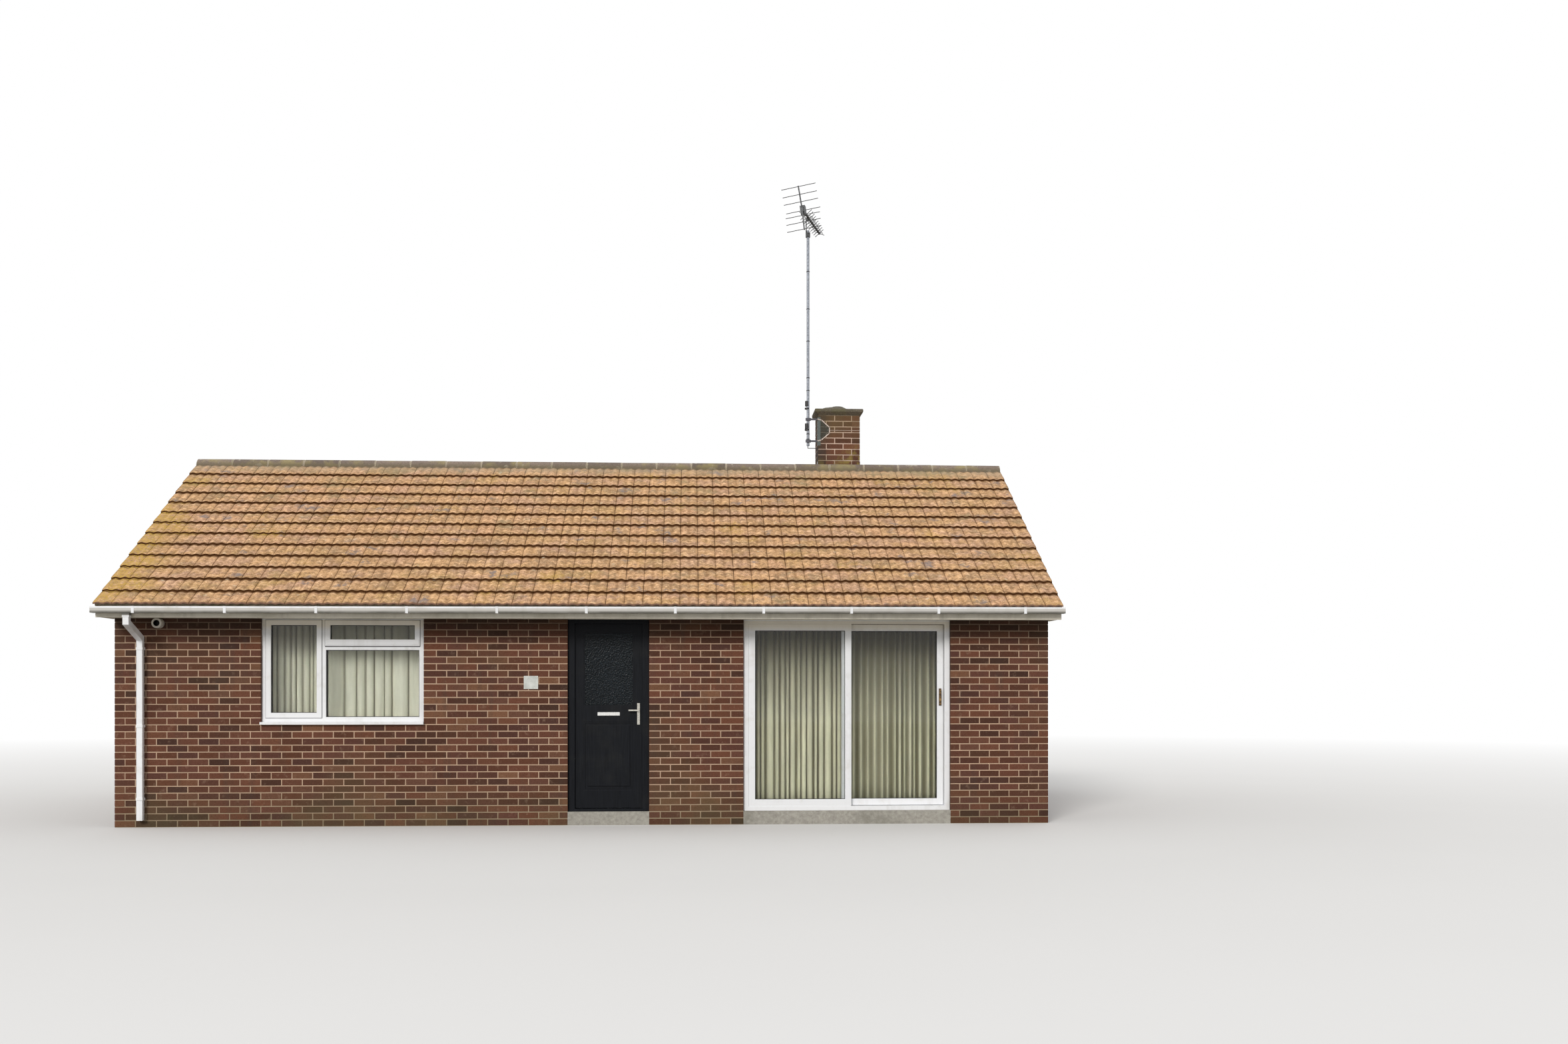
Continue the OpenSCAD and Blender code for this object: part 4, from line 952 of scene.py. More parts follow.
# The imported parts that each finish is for
FINISH_NODES = {
    "wall": ("front_wall_left", "front_wall_middle", "front_wall_right", "front_wall_top", "rear_wall",
             "left_gable", "right_gable"),
    "stack": ("chimney_stack",),
    "cap": ("chimney_cap",),
    "concrete": ("floor_slab",),
    "plaster": ("ceiling",),
    "timber": ("wall_plates", "roof_trusses"),
    "tile": ("front_roof_tiles", "rear_roof_tiles"),
    "ridge": ("ridge_tiles",),
    "cement": ("verge_undercloaks",),
    "board": ("fascias", "soffits"),
    "gutter": ("gutters", "downpipes"),
    "plastic": ("gutter_brackets", "window_frames", "window_sashes", "window_sills", "curtain_rails",
                "patio_frame", "patio_fixed_leaf", "sliding_leaf"),
    "glass": ("fixed_glass", "sliding_glass"),
    "frosted": ("front_door_glass",),
    "curtain": ("curtains",),
    "door": ("door_frame", "front_door", "rear_door"),
    "satin": ("door_hinge_pins", "door_handle", "door_hinge_knuckles"),
    "bright": ("letter_plate",),
    "bronze": ("sliding_handle",),
    "glaze": ("wall_plaque",),
    "flue": ("flue_terminal",),
    "steel": ("aerial_mast",),
    "bracket": ("aerial_bracket",),
    "aluminium": ("aerial_head",),
    "rubber": ("aerial_cable",),
}

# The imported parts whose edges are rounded, by the width of the rounding in metres
EDGE_NODES = {
    0.001: ("aerial_bracket", "aerial_head"),
    0.0012: ("gutters", "gutter_brackets"),
    0.002: ("front_door", "rear_door", "fascias", "door_handle", "sliding_handle", "aerial_cable"),
    0.003: ("window_frames", "window_sashes", "patio_frame", "patio_fixed_leaf", "sliding_leaf",
            "door_frame", "letter_plate", "wall_plaque", "flue_terminal"),
    0.004: ("downpipes",),
    0.005: ("window_sills",),
    0.012: ("chimney_cap",),
}


def round_edges(node, width):
    """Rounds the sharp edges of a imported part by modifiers."""
    weld = node.modifiers.new("Weld", "WELD")
    weld.merge_threshold = 0.00005
    edge = node.modifiers.new("Edges", "BEVEL")
    edge.width = width
    edge.segments = 2
    edge.limit_method = "ANGLE"
    edge.angle_limit = math.radians(35)
    edge.use_clamp_overlap = True


class BUNGALOW_OT_nodes(bpy.types.Operator):
    """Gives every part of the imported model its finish, and most of them rounded edges"""

    bl_idname = "bungalow.nodes"
    bl_label = "Finish the packed parts"

    def execute(self, context):
        finishes = {node: name for name, nodes in FINISH_NODES.items() for node in nodes}
        widths = {node: width for width, nodes in EDGE_NODES.items() for node in nodes}
        for name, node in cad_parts.items():
            node.data.materials.clear()
            node.data.materials.append(finish(finishes[name]))
            if name in widths:
                round_edges(node, widths[name])
        return {"FINISHED"}


# Brickwork

def course_spans(length, header_first, pitch, joint):
    """Starts and ends of the bricks of one course of stretcher bond."""
    header = (pitch - 2 * joint) / 2
    spans = [[0.0, header]] if header_first else []
    at = header + joint if header_first else 0.0
    while at < length - 0.02:
        spans.append([at, min(at + pitch - joint, length)])
        at += pitch
    if length - spans[-1][1] < 0.02:
        spans[-1][1] = length
    return spans


def outside_holes(spans, holes):
    """What is left of the bricks beside the openings; a sliver joins its neighbour."""
    kept = []
    for span in spans:
        parts = [span]
        for h0, h1 in holes:
            parts = [q for a, b in parts for q in ((a, min(b, h0)), (max(a, h1), b)) if q[1] - q[0] > 0.0001]
        kept += parts
    sliver = 0.055
    joined = []
    for a, b in kept:
        near = joined and 0 < a - joined[-1][1] < 0.012
        if near and (b - a < sliver or joined[-1][1] - joined[-1][0] < sliver):
            joined[-1][1] = b
        else:
            joined.append([a, b])
    for part in joined:
        for h0, h1 in holes:
            if 0 < part[0] - h1 < 0.02:
                part[0] = h1
            if 0 < h0 - part[1] < 0.02:
                part[1] = h0
    return joined


BRICK_CHAMFER = 0.0035
BRICK_DEPTH = 0.012
BRICK_STAMPS = {}


def brick_stamp(length, height, depth):
    """A brick with a chamfered face, centred on its length and height, its face at Y = 0."""
    key = (round(length, 4), round(height, 4), round(depth, 4))
    if key not in BRICK_STAMPS:
        bm = bmesh.new()
        box_between(bm, (-length / 2, 0, -height / 2), (length / 2, depth, height / 2))
        face = [e for e in bm.edges if all(v.co.y < 0.0001 for v in e.verts)]
        bevel_edges(bm, face, BRICK_CHAMFER)
        BRICK_STAMPS[key] = Stamp(bm)
    return BRICK_STAMPS[key]


def brick_tone(rng):
    """Mostly middle tones, with a few very dark and a few orange bricks."""
    pick = rng.random()
    if pick < 0.2:
        return rng.uniform(0.0, 0.25)
    if pick < 0.88:
        return rng.uniform(0.25, 0.8)
    return rng.uniform(0.8, 1.0)


def brick_courses(sizes, top):
    """Bottom and top heights of the courses from the ground up to a height."""
    gap = sizes.joint / 2
    spans = [(i * sizes.course_height + gap, (i + 1) * sizes.course_height - gap) for i in range(60)]
    return [(a, min(b, top)) for a, b in spans if a < top - 0.01]


def rake_z(y):
    """Height under the roof that the gables' bricks reach."""
    return roof_z(y) - 0.0115


def lay_wall(bm, corner, along, length, pitch, header_on, courses, openings, rng, sizes, raked=False):
    """Lays one wall in stretcher bond; every second course, from header_on up, starts with a header."""
    joint, proud = sizes.joint, sizes.brick_proud
    header = (pitch - 2 * joint) / 2
    lining = REVEAL + proud - 0.001
    (cx, cy), (ax, ay) = corner, along
    wall = Matrix(((ax, -ay, 0, cx), (ay, ax, 0, cy), (0, 0, 1, 0), (0, 0, 0, 1)))
    for index, (z0, z1) in enumerate(courses):
        spans = course_spans(length, index % 2 == header_on, pitch, joint)
        holes = [(a, b) for a, b, low, high in openings if low < z1 - 0.02 and high > z0 + 0.02]
        for a, b in outside_holes(spans, holes):
            start, end, base, depth = a, b, z0, BRICK_DEPTH
            for h0, h1 in holes:
                if abs(b - h0) < 0.001:
                    end, depth = b + 0.003, lining
                if abs(a - h1) < 0.001:
                    start, depth = a - 0.003, lining
            if a < 0.001 or b > length - 0.001:
                if b - a < header + 0.01:
                    # Up to the soffit, the other wall's brick turns this corner
                    if z1 < SOFFIT_Z:
                        continue
                    base = max(z0, SOFFIT_Z)
                depth = header + proud
                if a < 0.001:
                    start = -proud
                if b > length - 0.001:
                    end = length + proud
            stamp = brick_stamp(end - start, z1 - base, depth)
            out = 0.0006 - proud - rng.uniform(-0.0006, 0.0006)
            tilt = turned(rng.uniform(-0.003, 0.003), "Y")
            place = wall @ moved((start + end) / 2, out, (base + z1) / 2) @ tilt
            tone = brick_tone(rng)
            spots = [start, end] + [length / 2] * (start < length / 2 < end)
            tops = [rake_z((wall @ Vector((spot, 0, 0))).y) for spot in spots]
            if not raked or (len(spots) == 2 and min(tops) - z1 > 0.002):
                stamp.press(bm, place, tone)
            elif max(tops) - base > 0.012:
                part = toned_mesh()
                stamp.press(part, place, tone)
                for side in (-1, 1):
                    cut_off(part, (0, 0, rake_z(0)), (0, side * math.sin(PITCH), math.cos(PITCH)))
                merge_toned(bm, part, tone)


class BUNGALOW_OT_bricks(bpy.types.Operator):
    """Lays the bricks of the four walls in stretcher bond"""

    bl_idname = "bungalow.bricks"
    bl_label = "Lay the brickwork"

    def execute(self, context):
        sizes = context.scene.bungalow_sizes
        rng = random.Random(11)

        def opening(x, half, low):
            return (x + HALF_W - half, x + HALF_W + half, low, HEAD_Z)

        windows = [opening(x, WINDOW_HALF + 0.005, SILL_Z) for x in (-WINDOW_X, WINDOW_X)]
        front = [windows[0], opening(DOOR_X, DOOR_HALF, 0.0), opening(PATIO_X, PATIO_HALF, 0.0)]
        rear = windows + [opening(0.0, DOOR_HALF, 0.0)]
        courses = brick_courses(sizes, SOFFIT_Z - 0.001)
        for name, corner, along, header_on, openings in (
                ("front_bricks", (-HALF_W, -HALF_D), (1, 0), 1, front),
                ("rear_bricks", (HALF_W, HALF_D), (-1, 0), 0, rear)):
            bm = toned_mesh()
            lay_wall(bm, corner, along, 2 * HALF_W, sizes.brick_length, header_on, courses, openings, rng,
                     sizes)
            add_piece(name, bm, finish("brick"))

        courses = brick_courses(sizes, roof_z(0) + 0.01)
        pitch = (2 * HALF_D + sizes.joint) / 28.5
        for name, corner, along, header_on in (
                ("right_gable_bricks", (HALF_W, -HALF_D), (0, 1), 0),
                ("left_gable_bricks", (-HALF_W, HALF_D), (0, -1), 1)):
            bm = toned_mesh()
            lay_wall(bm, corner, along, 2 * HALF_D, pitch, header_on, courses, [], rng, sizes, raked=True)
            add_piece(name, bm, finish("brick"))
        return {"FINISHED"}


# Chimney

def stack_bricks(sizes):
    """Lays the chimney's courses, counted down from its top."""
    x0, x1, y0, y1 = STACK
    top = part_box("chimney_stack")[1].z
    course = sizes.course_height
    gap = sizes.joint / 2
    courses = [(top - i * course + gap, top - (i - 1) * course - gap) for i in range(15, 0, -1)]
    courses[-1] = (courses[-1][0], top - 0.002)
    rng = random.Random(23)
    bm = toned_mesh()
    for corner, along, length, bricks, header_on in (
            ((x0, y0), (1, 0), x1 - x0, 2.5, 1), ((x1, y0), (0, 1), y1 - y0, 2.0, 1),
            ((x1, y1), (-1, 0), x1 - x0, 2.5, 0), ((x0, y1), (0, -1), y1 - y0, 2.0, 0)):
        pitch = (length + sizes.joint) / bricks
        lay_wall(bm, corner, along, length, pitch, header_on, courses, [], rng, sizes)
    add_piece("chimney_bricks", bm, finish("brick"))


def stack_flashing():
    """Steps of lead up both sides of the chimney, a band behind it, and lead laid on the tiles round it."""
    x0, x1, y0, y1 = STACK
    near, far = 0.0045, 0.0075
    bm = bmesh.new()
    step = 0.11
    for i in range(4):
        start = y0 + i * step
        end = min(start + step + 0.012, y1 + 0.004)
        foot = roof_z(end) + 0.05
        head = roof_z(start) + TILE_NOSE + 0.15
        soft_box(bm, (x0 - far, start, foot), (x0 - near, end, head), 0.001)
        soft_box(bm, (x1 + near, start, foot), (x1 + far, end, head), 0.001)
    soft_box(bm, (x0 - far, y1 + near, roof_z(y1) + 0.04),
             (x1 + far, y1 + far, roof_z(y1) + TILE_NOSE + 0.15), 0.001)
    reach, gap = 0.13, 0.004
    for left, right, start in ((x0 - reach, x0 - gap, y0 - 0.02), (x1 + gap, x1 + reach, y0 - 0.02),
                               (x0 - gap, x1 + gap, y1 + gap)):
        for v in box_between(bm, (left, start, 0), (right, y1 + reach, 0.003)):
            v.co.z += roof_z(v.co.y) + TILE_NOSE / math.cos(PITCH) + 0.002
    add_piece("stack_flashing", bm, finish("lead"))


def lashing_strap():
    """The flat strap that ties the bracket's two arms across the chimney's face."""
    low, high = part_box("aerial_bracket")
    foot, head = low.z + 0.061, high.z - 0.028
    path = [(-0.0035, head), (0.045, head - 0.012), (0.15, STRAP_Z + 0.038), (0.15, STRAP_Z - 0.04),
            (0.042, foot + 0.012), (-0.0035, foot)]
    bm = bmesh.new()
    for (a, b), (c, d) in zip(path, path[1:]):
        part = bmesh.new()
        soft_box(part, (-0.006, -0.0095, -0.007), (math.hypot(c - a, d - b) + 0.006, -0.0055, 0.007), 0.0015)
        place = moved(STACK[0] + a, STACK[2], b) @ turned(-math.atan2(d - b, c - a), "Y")
        bmesh.ops.transform(part, matrix=place, verts=part.verts[:])
        merge(bm, part)
    add_piece("lashing_strap", bm, finish("strap"))


def cap_mound():
    """A low mound of mortar on the cap."""
    low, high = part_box("chimney_cap")
    rng = random.Random(17)
    bm = bmesh.new()
    bmesh.ops.create_uvsphere(bm, u_segments=32, v_segments=16, radius=1.0)
    for v in bm.verts:
        v.co *= 1.0 + rng.uniform(-0.02, 0.02)
    bmesh.ops.scale(bm, vec=(0.245, 0.2, 0.085), verts=bm.verts[:])
    bmesh.ops.translate(bm, vec=(3.06, (low.y + high.y) / 2, high.z - 0.09), verts=bm.verts[:])
    cut_off(bm, (0, 0, high.z - 0.068), (0, 0, -1))
    add_piece("cap_mound", bm, finish("cap"), smooth=60)


class BUNGALOW_OT_chimney(bpy.types.Operator):
    """Adds the chimney's bricks, its flashing, the bracket's strap and the mound on its cap"""

    bl_idname = "bungalow.chimney"
    bl_label = "Build the chimney"

    def execute(self, context):
        stack_bricks(context.scene.bungalow_sizes)
        stack_flashing()
        lashing_strap()
        cap_mound()
        return {"FINISHED"}


class BUNGALOW_OT_aerial(bpy.types.Operator):
    """Ties the cable to the mast and adds the bracket's arms and clamps"""

    bl_idname = "bungalow.aerial"
    bl_label = "Dress the aerial"

    def execute(self, context):
        x, y = MAST
        ties = [(x, z, 0.012, 0.0225) for z in (7.1, 6.6, 6.17, 5.68, 5.51, 4.93, 4.86)]
        bundles = [(x - 0.014, *row) for row in (
            (5.335, 0.07, 0.026), (5.27, 0.02, 0.031), (5.035, 0.07, 0.028), (4.985, 0.02, 0.031))]
        bm = bmesh.new()
        for centre, z, height, radius in ties + bundles:
            made = cylinder(bm, radius, height, 20, moved(centre, y + 0.002, z))
            rims = [e for e in edges_of(made) if abs(e.verts[0].co.z - e.verts[1].co.z) < 0.0001]
            bevel_edges(bm, rims, 0.0015)
            reach = height / 2 - 0.001
            box_between(bm, (x - 0.0065, y + 0.018, z - reach), (x + 0.0065, y + 0.0375, z + reach))
        add_piece("cable_ties", bm, finish("rubber"), smooth=40)

        bm = bmesh.new()
        for z in (4.831, 5.122):
            soft_box(bm, (x + 0.012, y - 0.034, z - 0.012), (STACK[0] - 0.0045, y - 0.022, z + 0.012), 0.002)
            soft_box(bm, (x - 0.034, y - 0.031, z - 0.019), (x + 0.036, y - 0.021, z + 0.019), 0.002)
        add_piece("bracket_clamps", bm, finish("bracket"))
        return {"FINISHED"}


# Roof

def tile_stamp(width, length, sizes):
    """One tile with two waves, its nose at Y = 0, its crests at Z = 0."""
    def place(u, v):
        rise = (math.cos(u * 4 * math.pi) + 1) / 2
        drop = 0.004 if v < 0.01 else 0.0
        return ((u - 0.5) * width, v * v * length if v < 0.99 else length, -sizes.tile_wave * rise - drop)

    bm = bmesh.new()
    bmesh.ops.solidify(bm, geom=grid_shape(bm, 12, 3, place), thickness=sizes.tile_thickness)
    bmesh.ops.recalc_face_normals(bm, faces=bm.faces[:])
    uv = bm.loops.layers.uv.new("UVMap")
    for face in bm.faces:
        nose = face.normal.y < -0.6
        for loop in face.loops:
            loop[uv].uv = (loop.vert.co.x / width + 0.5, -0.2 if nose else loop.vert.co.y / length)
    return Stamp(bm)


def outside_stack(part):
    """Copies of a tile's mesh cut back to the four sides of the chimney."""
    x0, x1, y0, y1 = STACK
    beside = [((x0, 0, 0), (-1, 0, 0)), ((x1, 0, 0), (1, 0, 0))]
    cuts = [[((x0, 0, 0), (1, 0, 0))], [((x1, 0, 0), (-1, 0, 0))],
            beside + [((0, y0, 0), (0, 1, 0))], beside + [((0, y1, 0), (0, -1, 0))]]
    for planes in cuts:
        copy = part.copy()
        for point, normal in planes:
            if copy.faces:
                cut_off(copy, point, normal)
        if copy.faces:
            yield copy
        else:
            copy.free()


def near_stack(point):
    """Whether a tile whose middle is at a point may touch the chimney."""
    x0, x1, y0, y1 = STACK
    return x0 - 0.12 < point.x < x1 + 0.12 and y0 - 0.25 < point.y < y1 + 0.25


def lay_tiles(name, node, turn, seed, sizes):
    """Hangs the tiles of one slope, each a little out of line, and cuts them round the chimney."""
    pitch = 2 * ROOF_X / sizes.tile_columns
    stamp = tile_stamp(pitch - 0.003, GAUGE + TILE_LAP, sizes)
    lean = PITCH - math.atan(TILE_STEP / GAUGE)
    rng = random.Random(seed)
    bm = toned_mesh()
    for row in range(COURSES):
        y, z = slope_point(row * GAUGE, TILE_NOSE - 0.0012)
        for column in range(sizes.tile_columns):
            place = (turned(turn, "Z") @ moved(-ROOF_X + (column + 0.5) * pitch, y, z)
                     @ turned(lean + rng.uniform(-0.002, 0.001), "X")
                     @ moved(rng.uniform(-0.0008, 0.0008), rng.uniform(0.0, 0.005), 0)
                     @ turned(rng.uniform(-0.003, 0.003), "Z")
                     @ turned(rng.uniform(-0.0035, 0.0035), "Y"))
            tone = min(1.0, max(0.0, rng.gauss(0.48, 0.22)))
            if not near_stack(place @ Vector((0, 0.19, 0))):
                stamp.press(bm, place, tone)
                continue
            part = toned_mesh()
            stamp.press(part, place, tone)
            for piece in outside_stack(part):
                merge_toned(bm, piece, tone)
            part.free()
    piece = add_piece(name, bm, finish("tile"), smooth=35)
    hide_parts(node)


def on_slope(turn):
    """A matrix that lays what is drawn flat, eaves at Y = 0, on the front slope or, turned, on the rear."""
    return turned(turn, "Z") @ moved(0, *slope_point(0, 0)) @ turned(PITCH, "X")


def roof_felt():
    """Felt under the tiles."""
    bm = bmesh.new()
    for turn in (0, math.pi):
        made = box_between(bm, (-ROOF_X + 0.02, slope_at(-3.60, 0.005), 0.003),
                           (ROOF_X - 0.02, slope_at(-0.02, 0.005), 0.0055))
        bmesh.ops.transform(bm, matrix=on_slope(turn), verts=made)
    add_piece("roof_felt", bm, finish("felt"))


def eaves_strips():
    """Strips that carry the first course over the gutters."""
    y, z = slope_point(0.03, 0.0)
    bm = bmesh.new()
    for side in (-1, 1):
        start, end = sorted((side * y, side * (y - 0.006)))
        box_between(bm, (-ROOF_X + 0.02, start, z + 0.005), (ROOF_X - 0.02, end, z + 0.045))
    add_piece("eaves_strips", bm, finish("cement"))


def verge_mortar():
    """Mortar that fills the verges between undercloak and tiles, stepped with the courses."""
    rng = random.Random(5)
    bm = bmesh.new()
    for turn in (0, math.pi):
        for end in (-1, 1):
            for row in range(COURSES):
                s0 = row * GAUGE + (0.012 if row else 0.03)
                s1 = (row + 1) * GAUGE + 0.01
                x0, x1 = sorted((end * (ROOF_X - 0.05), end * (ROOF_X - 0.007 - rng.uniform(0, 0.004))))
                made = box_between(bm, (x0, s0, 0.001), (x1, s1, 0.047))
                for v in made:
                    if v.co.z > 0.02:
                        v.co.z = (TILE_NOSE if v.co.y < (s0 + s1) / 2 else TILE_NOSE - TILE_STEP) - 0.022
                bmesh.ops.transform(bm, matrix=on_slope(turn), verts=made)
    add_piece("verge_mortar", bm, finish("cement"))


class BUNGALOW_OT_roof(bpy.types.Operator):
    """Hangs the tiles of both slopes one by one, over their felt, and fills eaves and verges"""

    bl_idname = "bungalow.roof"
    bl_label = "Tile the roof"

    def execute(self, context):
        sizes = context.scene.bungalow_sizes
        lay_tiles("front_tiling", "front_roof_tiles", 0, 31, sizes)
        lay_tiles("rear_tiling", "rear_roof_tiles", math.pi, 32, sizes)
        roof_felt()
        eaves_strips()
        verge_mortar()
        return {"FINISHED"}


def ridge_run(sizes, centre_z):
    """The ridge tiles, each a little out of line."""
    pitch = 2 * ROOF_X / sizes.ridge_count
    half = pitch / 2 - 0.004
    shape = bmesh.new()
    arc(shape, -half, half, RIDGE_RADIUS, RIDGE_SPREAD, sizes.tile_thickness, 14)
    ends = [e for e in shape.edges if all(abs(abs(v.co.x) - half) < 0.0001 for v in e.verts)]
    bevel_edges(shape, ends, 0.0025)
    stamp = Stamp(shape)
    rng = random.Random(41)
    bm = toned_mesh()
    for i in range(sizes.ridge_count):
        place = (moved(-ROOF_X + (i + 0.5) * pitch, 0, centre_z + rng.uniform(-0.003, 0.001))
                 @ turned(rng.uniform(-0.004, 0.004), "Y") @ turned(rng.uniform(-0.004, 0.004), "Z"))
        stamp.press(bm, place, rng.random())
    piece = add_piece("ridge_run", bm, finish("ridge"), smooth=40)
    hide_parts("ridge_tiles")


def ridge_mortar(sizes, centre_z, foot):
    """Mortar in the joints, along both lower edges and in the open ends."""
    bm = bmesh.new()
    arc(bm, -ROOF_X + 0.012, ROOF_X - 0.012, RIDGE_RADIUS - 0.0035, RIDGE_SPREAD + 0.04, 0.012, 20)
    bmesh.ops.translate(bm, vec=(0, 0, centre_z), verts=bm.verts[:])
    inner = RIDGE_RADIUS - sizes.tile_thickness - 0.002
    for side in (-1, 1):
        part = bmesh.new()
        spot = moved(side * (ROOF_X - 0.034), 0, centre_z) @ turned(math.pi / 2, "Y")
        cylinder(part, inner, 0.04, 36, spot)
        cut_off(part, (0, 0, foot), (0, 0, -1))
        outer = ROOF_X - 0.014
        rims = [e for e in part.edges if all(abs(abs(v.co.x) - outer) < 0.0001 for v in e.verts)]
        bevel_edges(part, rims, 0.004)
        merge(bm, part)
    add_piece("ridge_mortar", bm, finish("cement"), smooth=40)


class BUNGALOW_OT_ridge(bpy.types.Operator):
    """Beds the ridge tiles in mortar along the top of the roof"""

    bl_idname = "bungalow.ridge"
    bl_label = "Bed the ridge"

    def execute(self, context):
        sizes = context.scene.bungalow_sizes
        low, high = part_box("ridge_tiles")
        centre_z = high.z - RIDGE_RADIUS - 0.002
        ridge_run(sizes, centre_z)
        ridge_mortar(sizes, centre_z, low.z + 0.004)
        return {"FINISHED"}


# Cloth

def fold_line(width, crest, valley, depth, rng):
    """Points (x, out) of hanging cloth seen from above, its crests and hollows of uneven width."""
    points = []
    steps = 6
    x = 0.0
    side = 1
    while x < width - 0.001:
        span = min((crest if side > 0 else valley) * rng.uniform(0.5, 1.5), width - x)
        if width - x - span < valley * 0.5:
            span = width - x
        rise = depth / 2 * rng.uniform(0.7, 1.0)
        for i in range(steps):
            t = i / steps
            points.append((x + span * t, side * rise * math.sin(math.pi * t) ** 0.7))
        x += span
        side = -side
    points.append((width, 0.0))
    return points


def hang_cloth(name, x0, x1, z0, y, folds, seed, material):
    """Hangs a folded sheet from the rail between x0 and x1; folds is crest, hollow and depth."""
    line = fold_line(x1 - x0, *folds, random.Random(seed))
    lengths = [0.0]
    for a, b in zip(line, line[1:]):
        lengths.append(lengths[-1] + math.dist(a, b))
    outward = math.copysign(1.0, y)

    def place(u, v):
        x, out = line[int(round(u * (len(line) - 1)))]
        return (x0 + x, y + outward * out * (1.0 - 0.18 * v), z0 + v * (CLOTH_TOP - z0))

    bm = bmesh.new()
    grid_shape(bm, len(line) - 1, 10, place)
    bmesh.ops.recalc_face_normals(bm, faces=bm.faces[:])
    uv = bm.loops.layers.uv.new("UVMap")
    stops = [x0 + x - 0.0001 for x, _ in line]
    for face in bm.faces:
        for loop in face.loops:
            loop[uv].uv = (lengths[bisect.bisect_right(stops, loop.vert.co.x) - 1], loop.vert.co.z)
    piece = add_piece(name, bm, material, smooth=180)
    thick = piece.modifiers.new("Cloth", "SOLIDIFY")
    thick.thickness = 0.0012
    thick.offset = 0
    return piece


class BUNGALOW_OT_curtains(bpy.types.Operator):
    """Hangs the curtains of the windows and of the patio door"""

    bl_idname = "bungalow.curtains"
    bl_label = "Hang the curtains"

    def execute(self, context):
        depth = context.scene.bungalow_sizes.fold_depth
        narrow, wide = (0.046, 0.022, depth), (0.115, 0.02, depth)
        made = []
        for tag, centre, y in (("front", -WINDOW_X, -CLOTH_Y), ("rear_left", -WINDOW_X, CLOTH_Y),
                               ("rear_right", WINDOW_X, CLOTH_Y)):
            left, right = centre - CURTAIN_HALF, centre + CURTAIN_HALF
            gap = left + 0.74 if y < 0 else centre
            for letter, x0, x1, folds in (("a", left, gap, narrow),
                                          ("b", gap + 0.01, right, wide if y < 0 else narrow)):
                made.append(hang_cloth(f"curtain_{tag}_{letter}", x0, x1, CURTAIN_FOOT, y, folds,
                                       61 + len(made), finish("curtain")))
        for i, folds in enumerate(((0.05, 0.024, depth), (0.018, 0.052, depth))):
            left = PATIO_X - BLIND_HALF + i * BLIND_HALF
            hang_cloth(f"patio_blind_{i + 1}", left + 0.005 * i, left + BLIND_HALF, BLIND_FOOT, -CLOTH_Y,
                       folds, 71 + i, finish("net"))
        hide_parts("curtains")
        return {"FINISHED"}


# Joinery and fittings

def window_lights(x):
    """The glass edges of a window's casement, top light and fixed light as (left, right, bottom, top)."""
    left, right = x - WINDOW_HALF, x + WINDOW_HALF
    mullion, transom, half = left + MULLION_X, HEAD_Z - TRANSOM_DROP, MULLION_BAR / 2
    edge, sash = FRAME_BAR + SASH_BAR, MULLION_BAR / 2 + SASH_BAR
    return [(left + edge, mullion - sash, FRAME_FOOT + edge, HEAD_Z - edge),
            (mullion + sash, right - edge, transom + sash, HEAD_Z - edge),
            (mullion + half, right - FRAME_BAR, FRAME_FOOT + FRAME_BAR, transom - half)]


def at_windows(dress):
    """A mesh of what dress(part, lights) draws at each of the three windows."""
    bm = bmesh.new()
    for x, turn in ((-WINDOW_X, 0), (-WINDOW_X, math.pi), (WINDOW_X, math.pi)):
        part = bmesh.new()
        dress(part, window_lights(x))
        bmesh.ops.rotate(part, cent=(0, 0, 0), matrix=Matrix.Rotation(turn, 3, "Z"), verts=part.verts[:])
        merge(bm, part)
    return bm


def window_gaskets(part, lights):
    """Gaskets round the glass, outside and inside."""
    for light in lights:
        ring(part, *light, -GLASS_Y - 0.004, -GLASS_Y, GASKET)
        ring(part, *light, -GLASS_Y + 0.024, -GLASS_Y + 0.028, GASKET)


def sash_gap_shades(part, lights):
    """Dark rubber rings round the opening sashes for gaskets and the shade in their gaps, and a wider dark
    strip under the top light as painted shadow.
    """
    grow = SASH_BAR + 0.009 + 0.004
    for x0, x1, z0, z1 in lights[:2]:
        ring(part, x0 - grow, x1 + grow, z0 - grow, z1 + grow, -FRAME_Y - 0.0012, -FRAME_Y + 0.001, 0.005)
    x0, x1, z0, _ = lights[1]
    box_between(part, (x0 - 0.056, -FRAME_Y - 0.004, z0 - 0.065), (x1 + 0.056, -FRAME_Y, z0 - 0.0565))


def drip_rail(part, lights):
    """A drip rail along the foot of the top light."""
    x0, x1, z0, _ = lights[1]
    soft_box(part, (x0 - 0.0465, -FRAME_Y - 0.0165, z0 - 0.044),
             (x1 + 0.0465, -FRAME_Y - 0.0045, z0 + 0.017), 0.0035)


def leaf_gasket(bm, node):
    """A gasket round the glass of a patio leaf."""
    low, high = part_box(node)
    ring(bm, low.x + LEAF_STILE, high.x - LEAF_STILE, low.z + LEAF_STILE, high.z - LEAF_STILE,
         low.y + 0.0065, low.y + 0.0105, GASKET)


def door_beads(bm):
    """Beads round the front door's glass, and the moulding of its lower panel."""
    low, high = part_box("front_door")
    set_back = 0.0015
    front, back = low.y + set_back, high.y - set_back
    low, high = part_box("front_door_glass")
    ring(bm, low.x, high.x, low.z, high.z, front, low.y, 0.014)
    ring(bm, low.x, high.x, low.z, high.z, high.y, back, 0.014)
    plate_low, plate_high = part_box("letter_plate")
    top = (plate_low.z + plate_high.z) / 2 - 0.085
    ring(bm, DOOR_X - 0.28, DOOR_X + 0.28, 0.385, top, front, front + 0.009, 0.016)


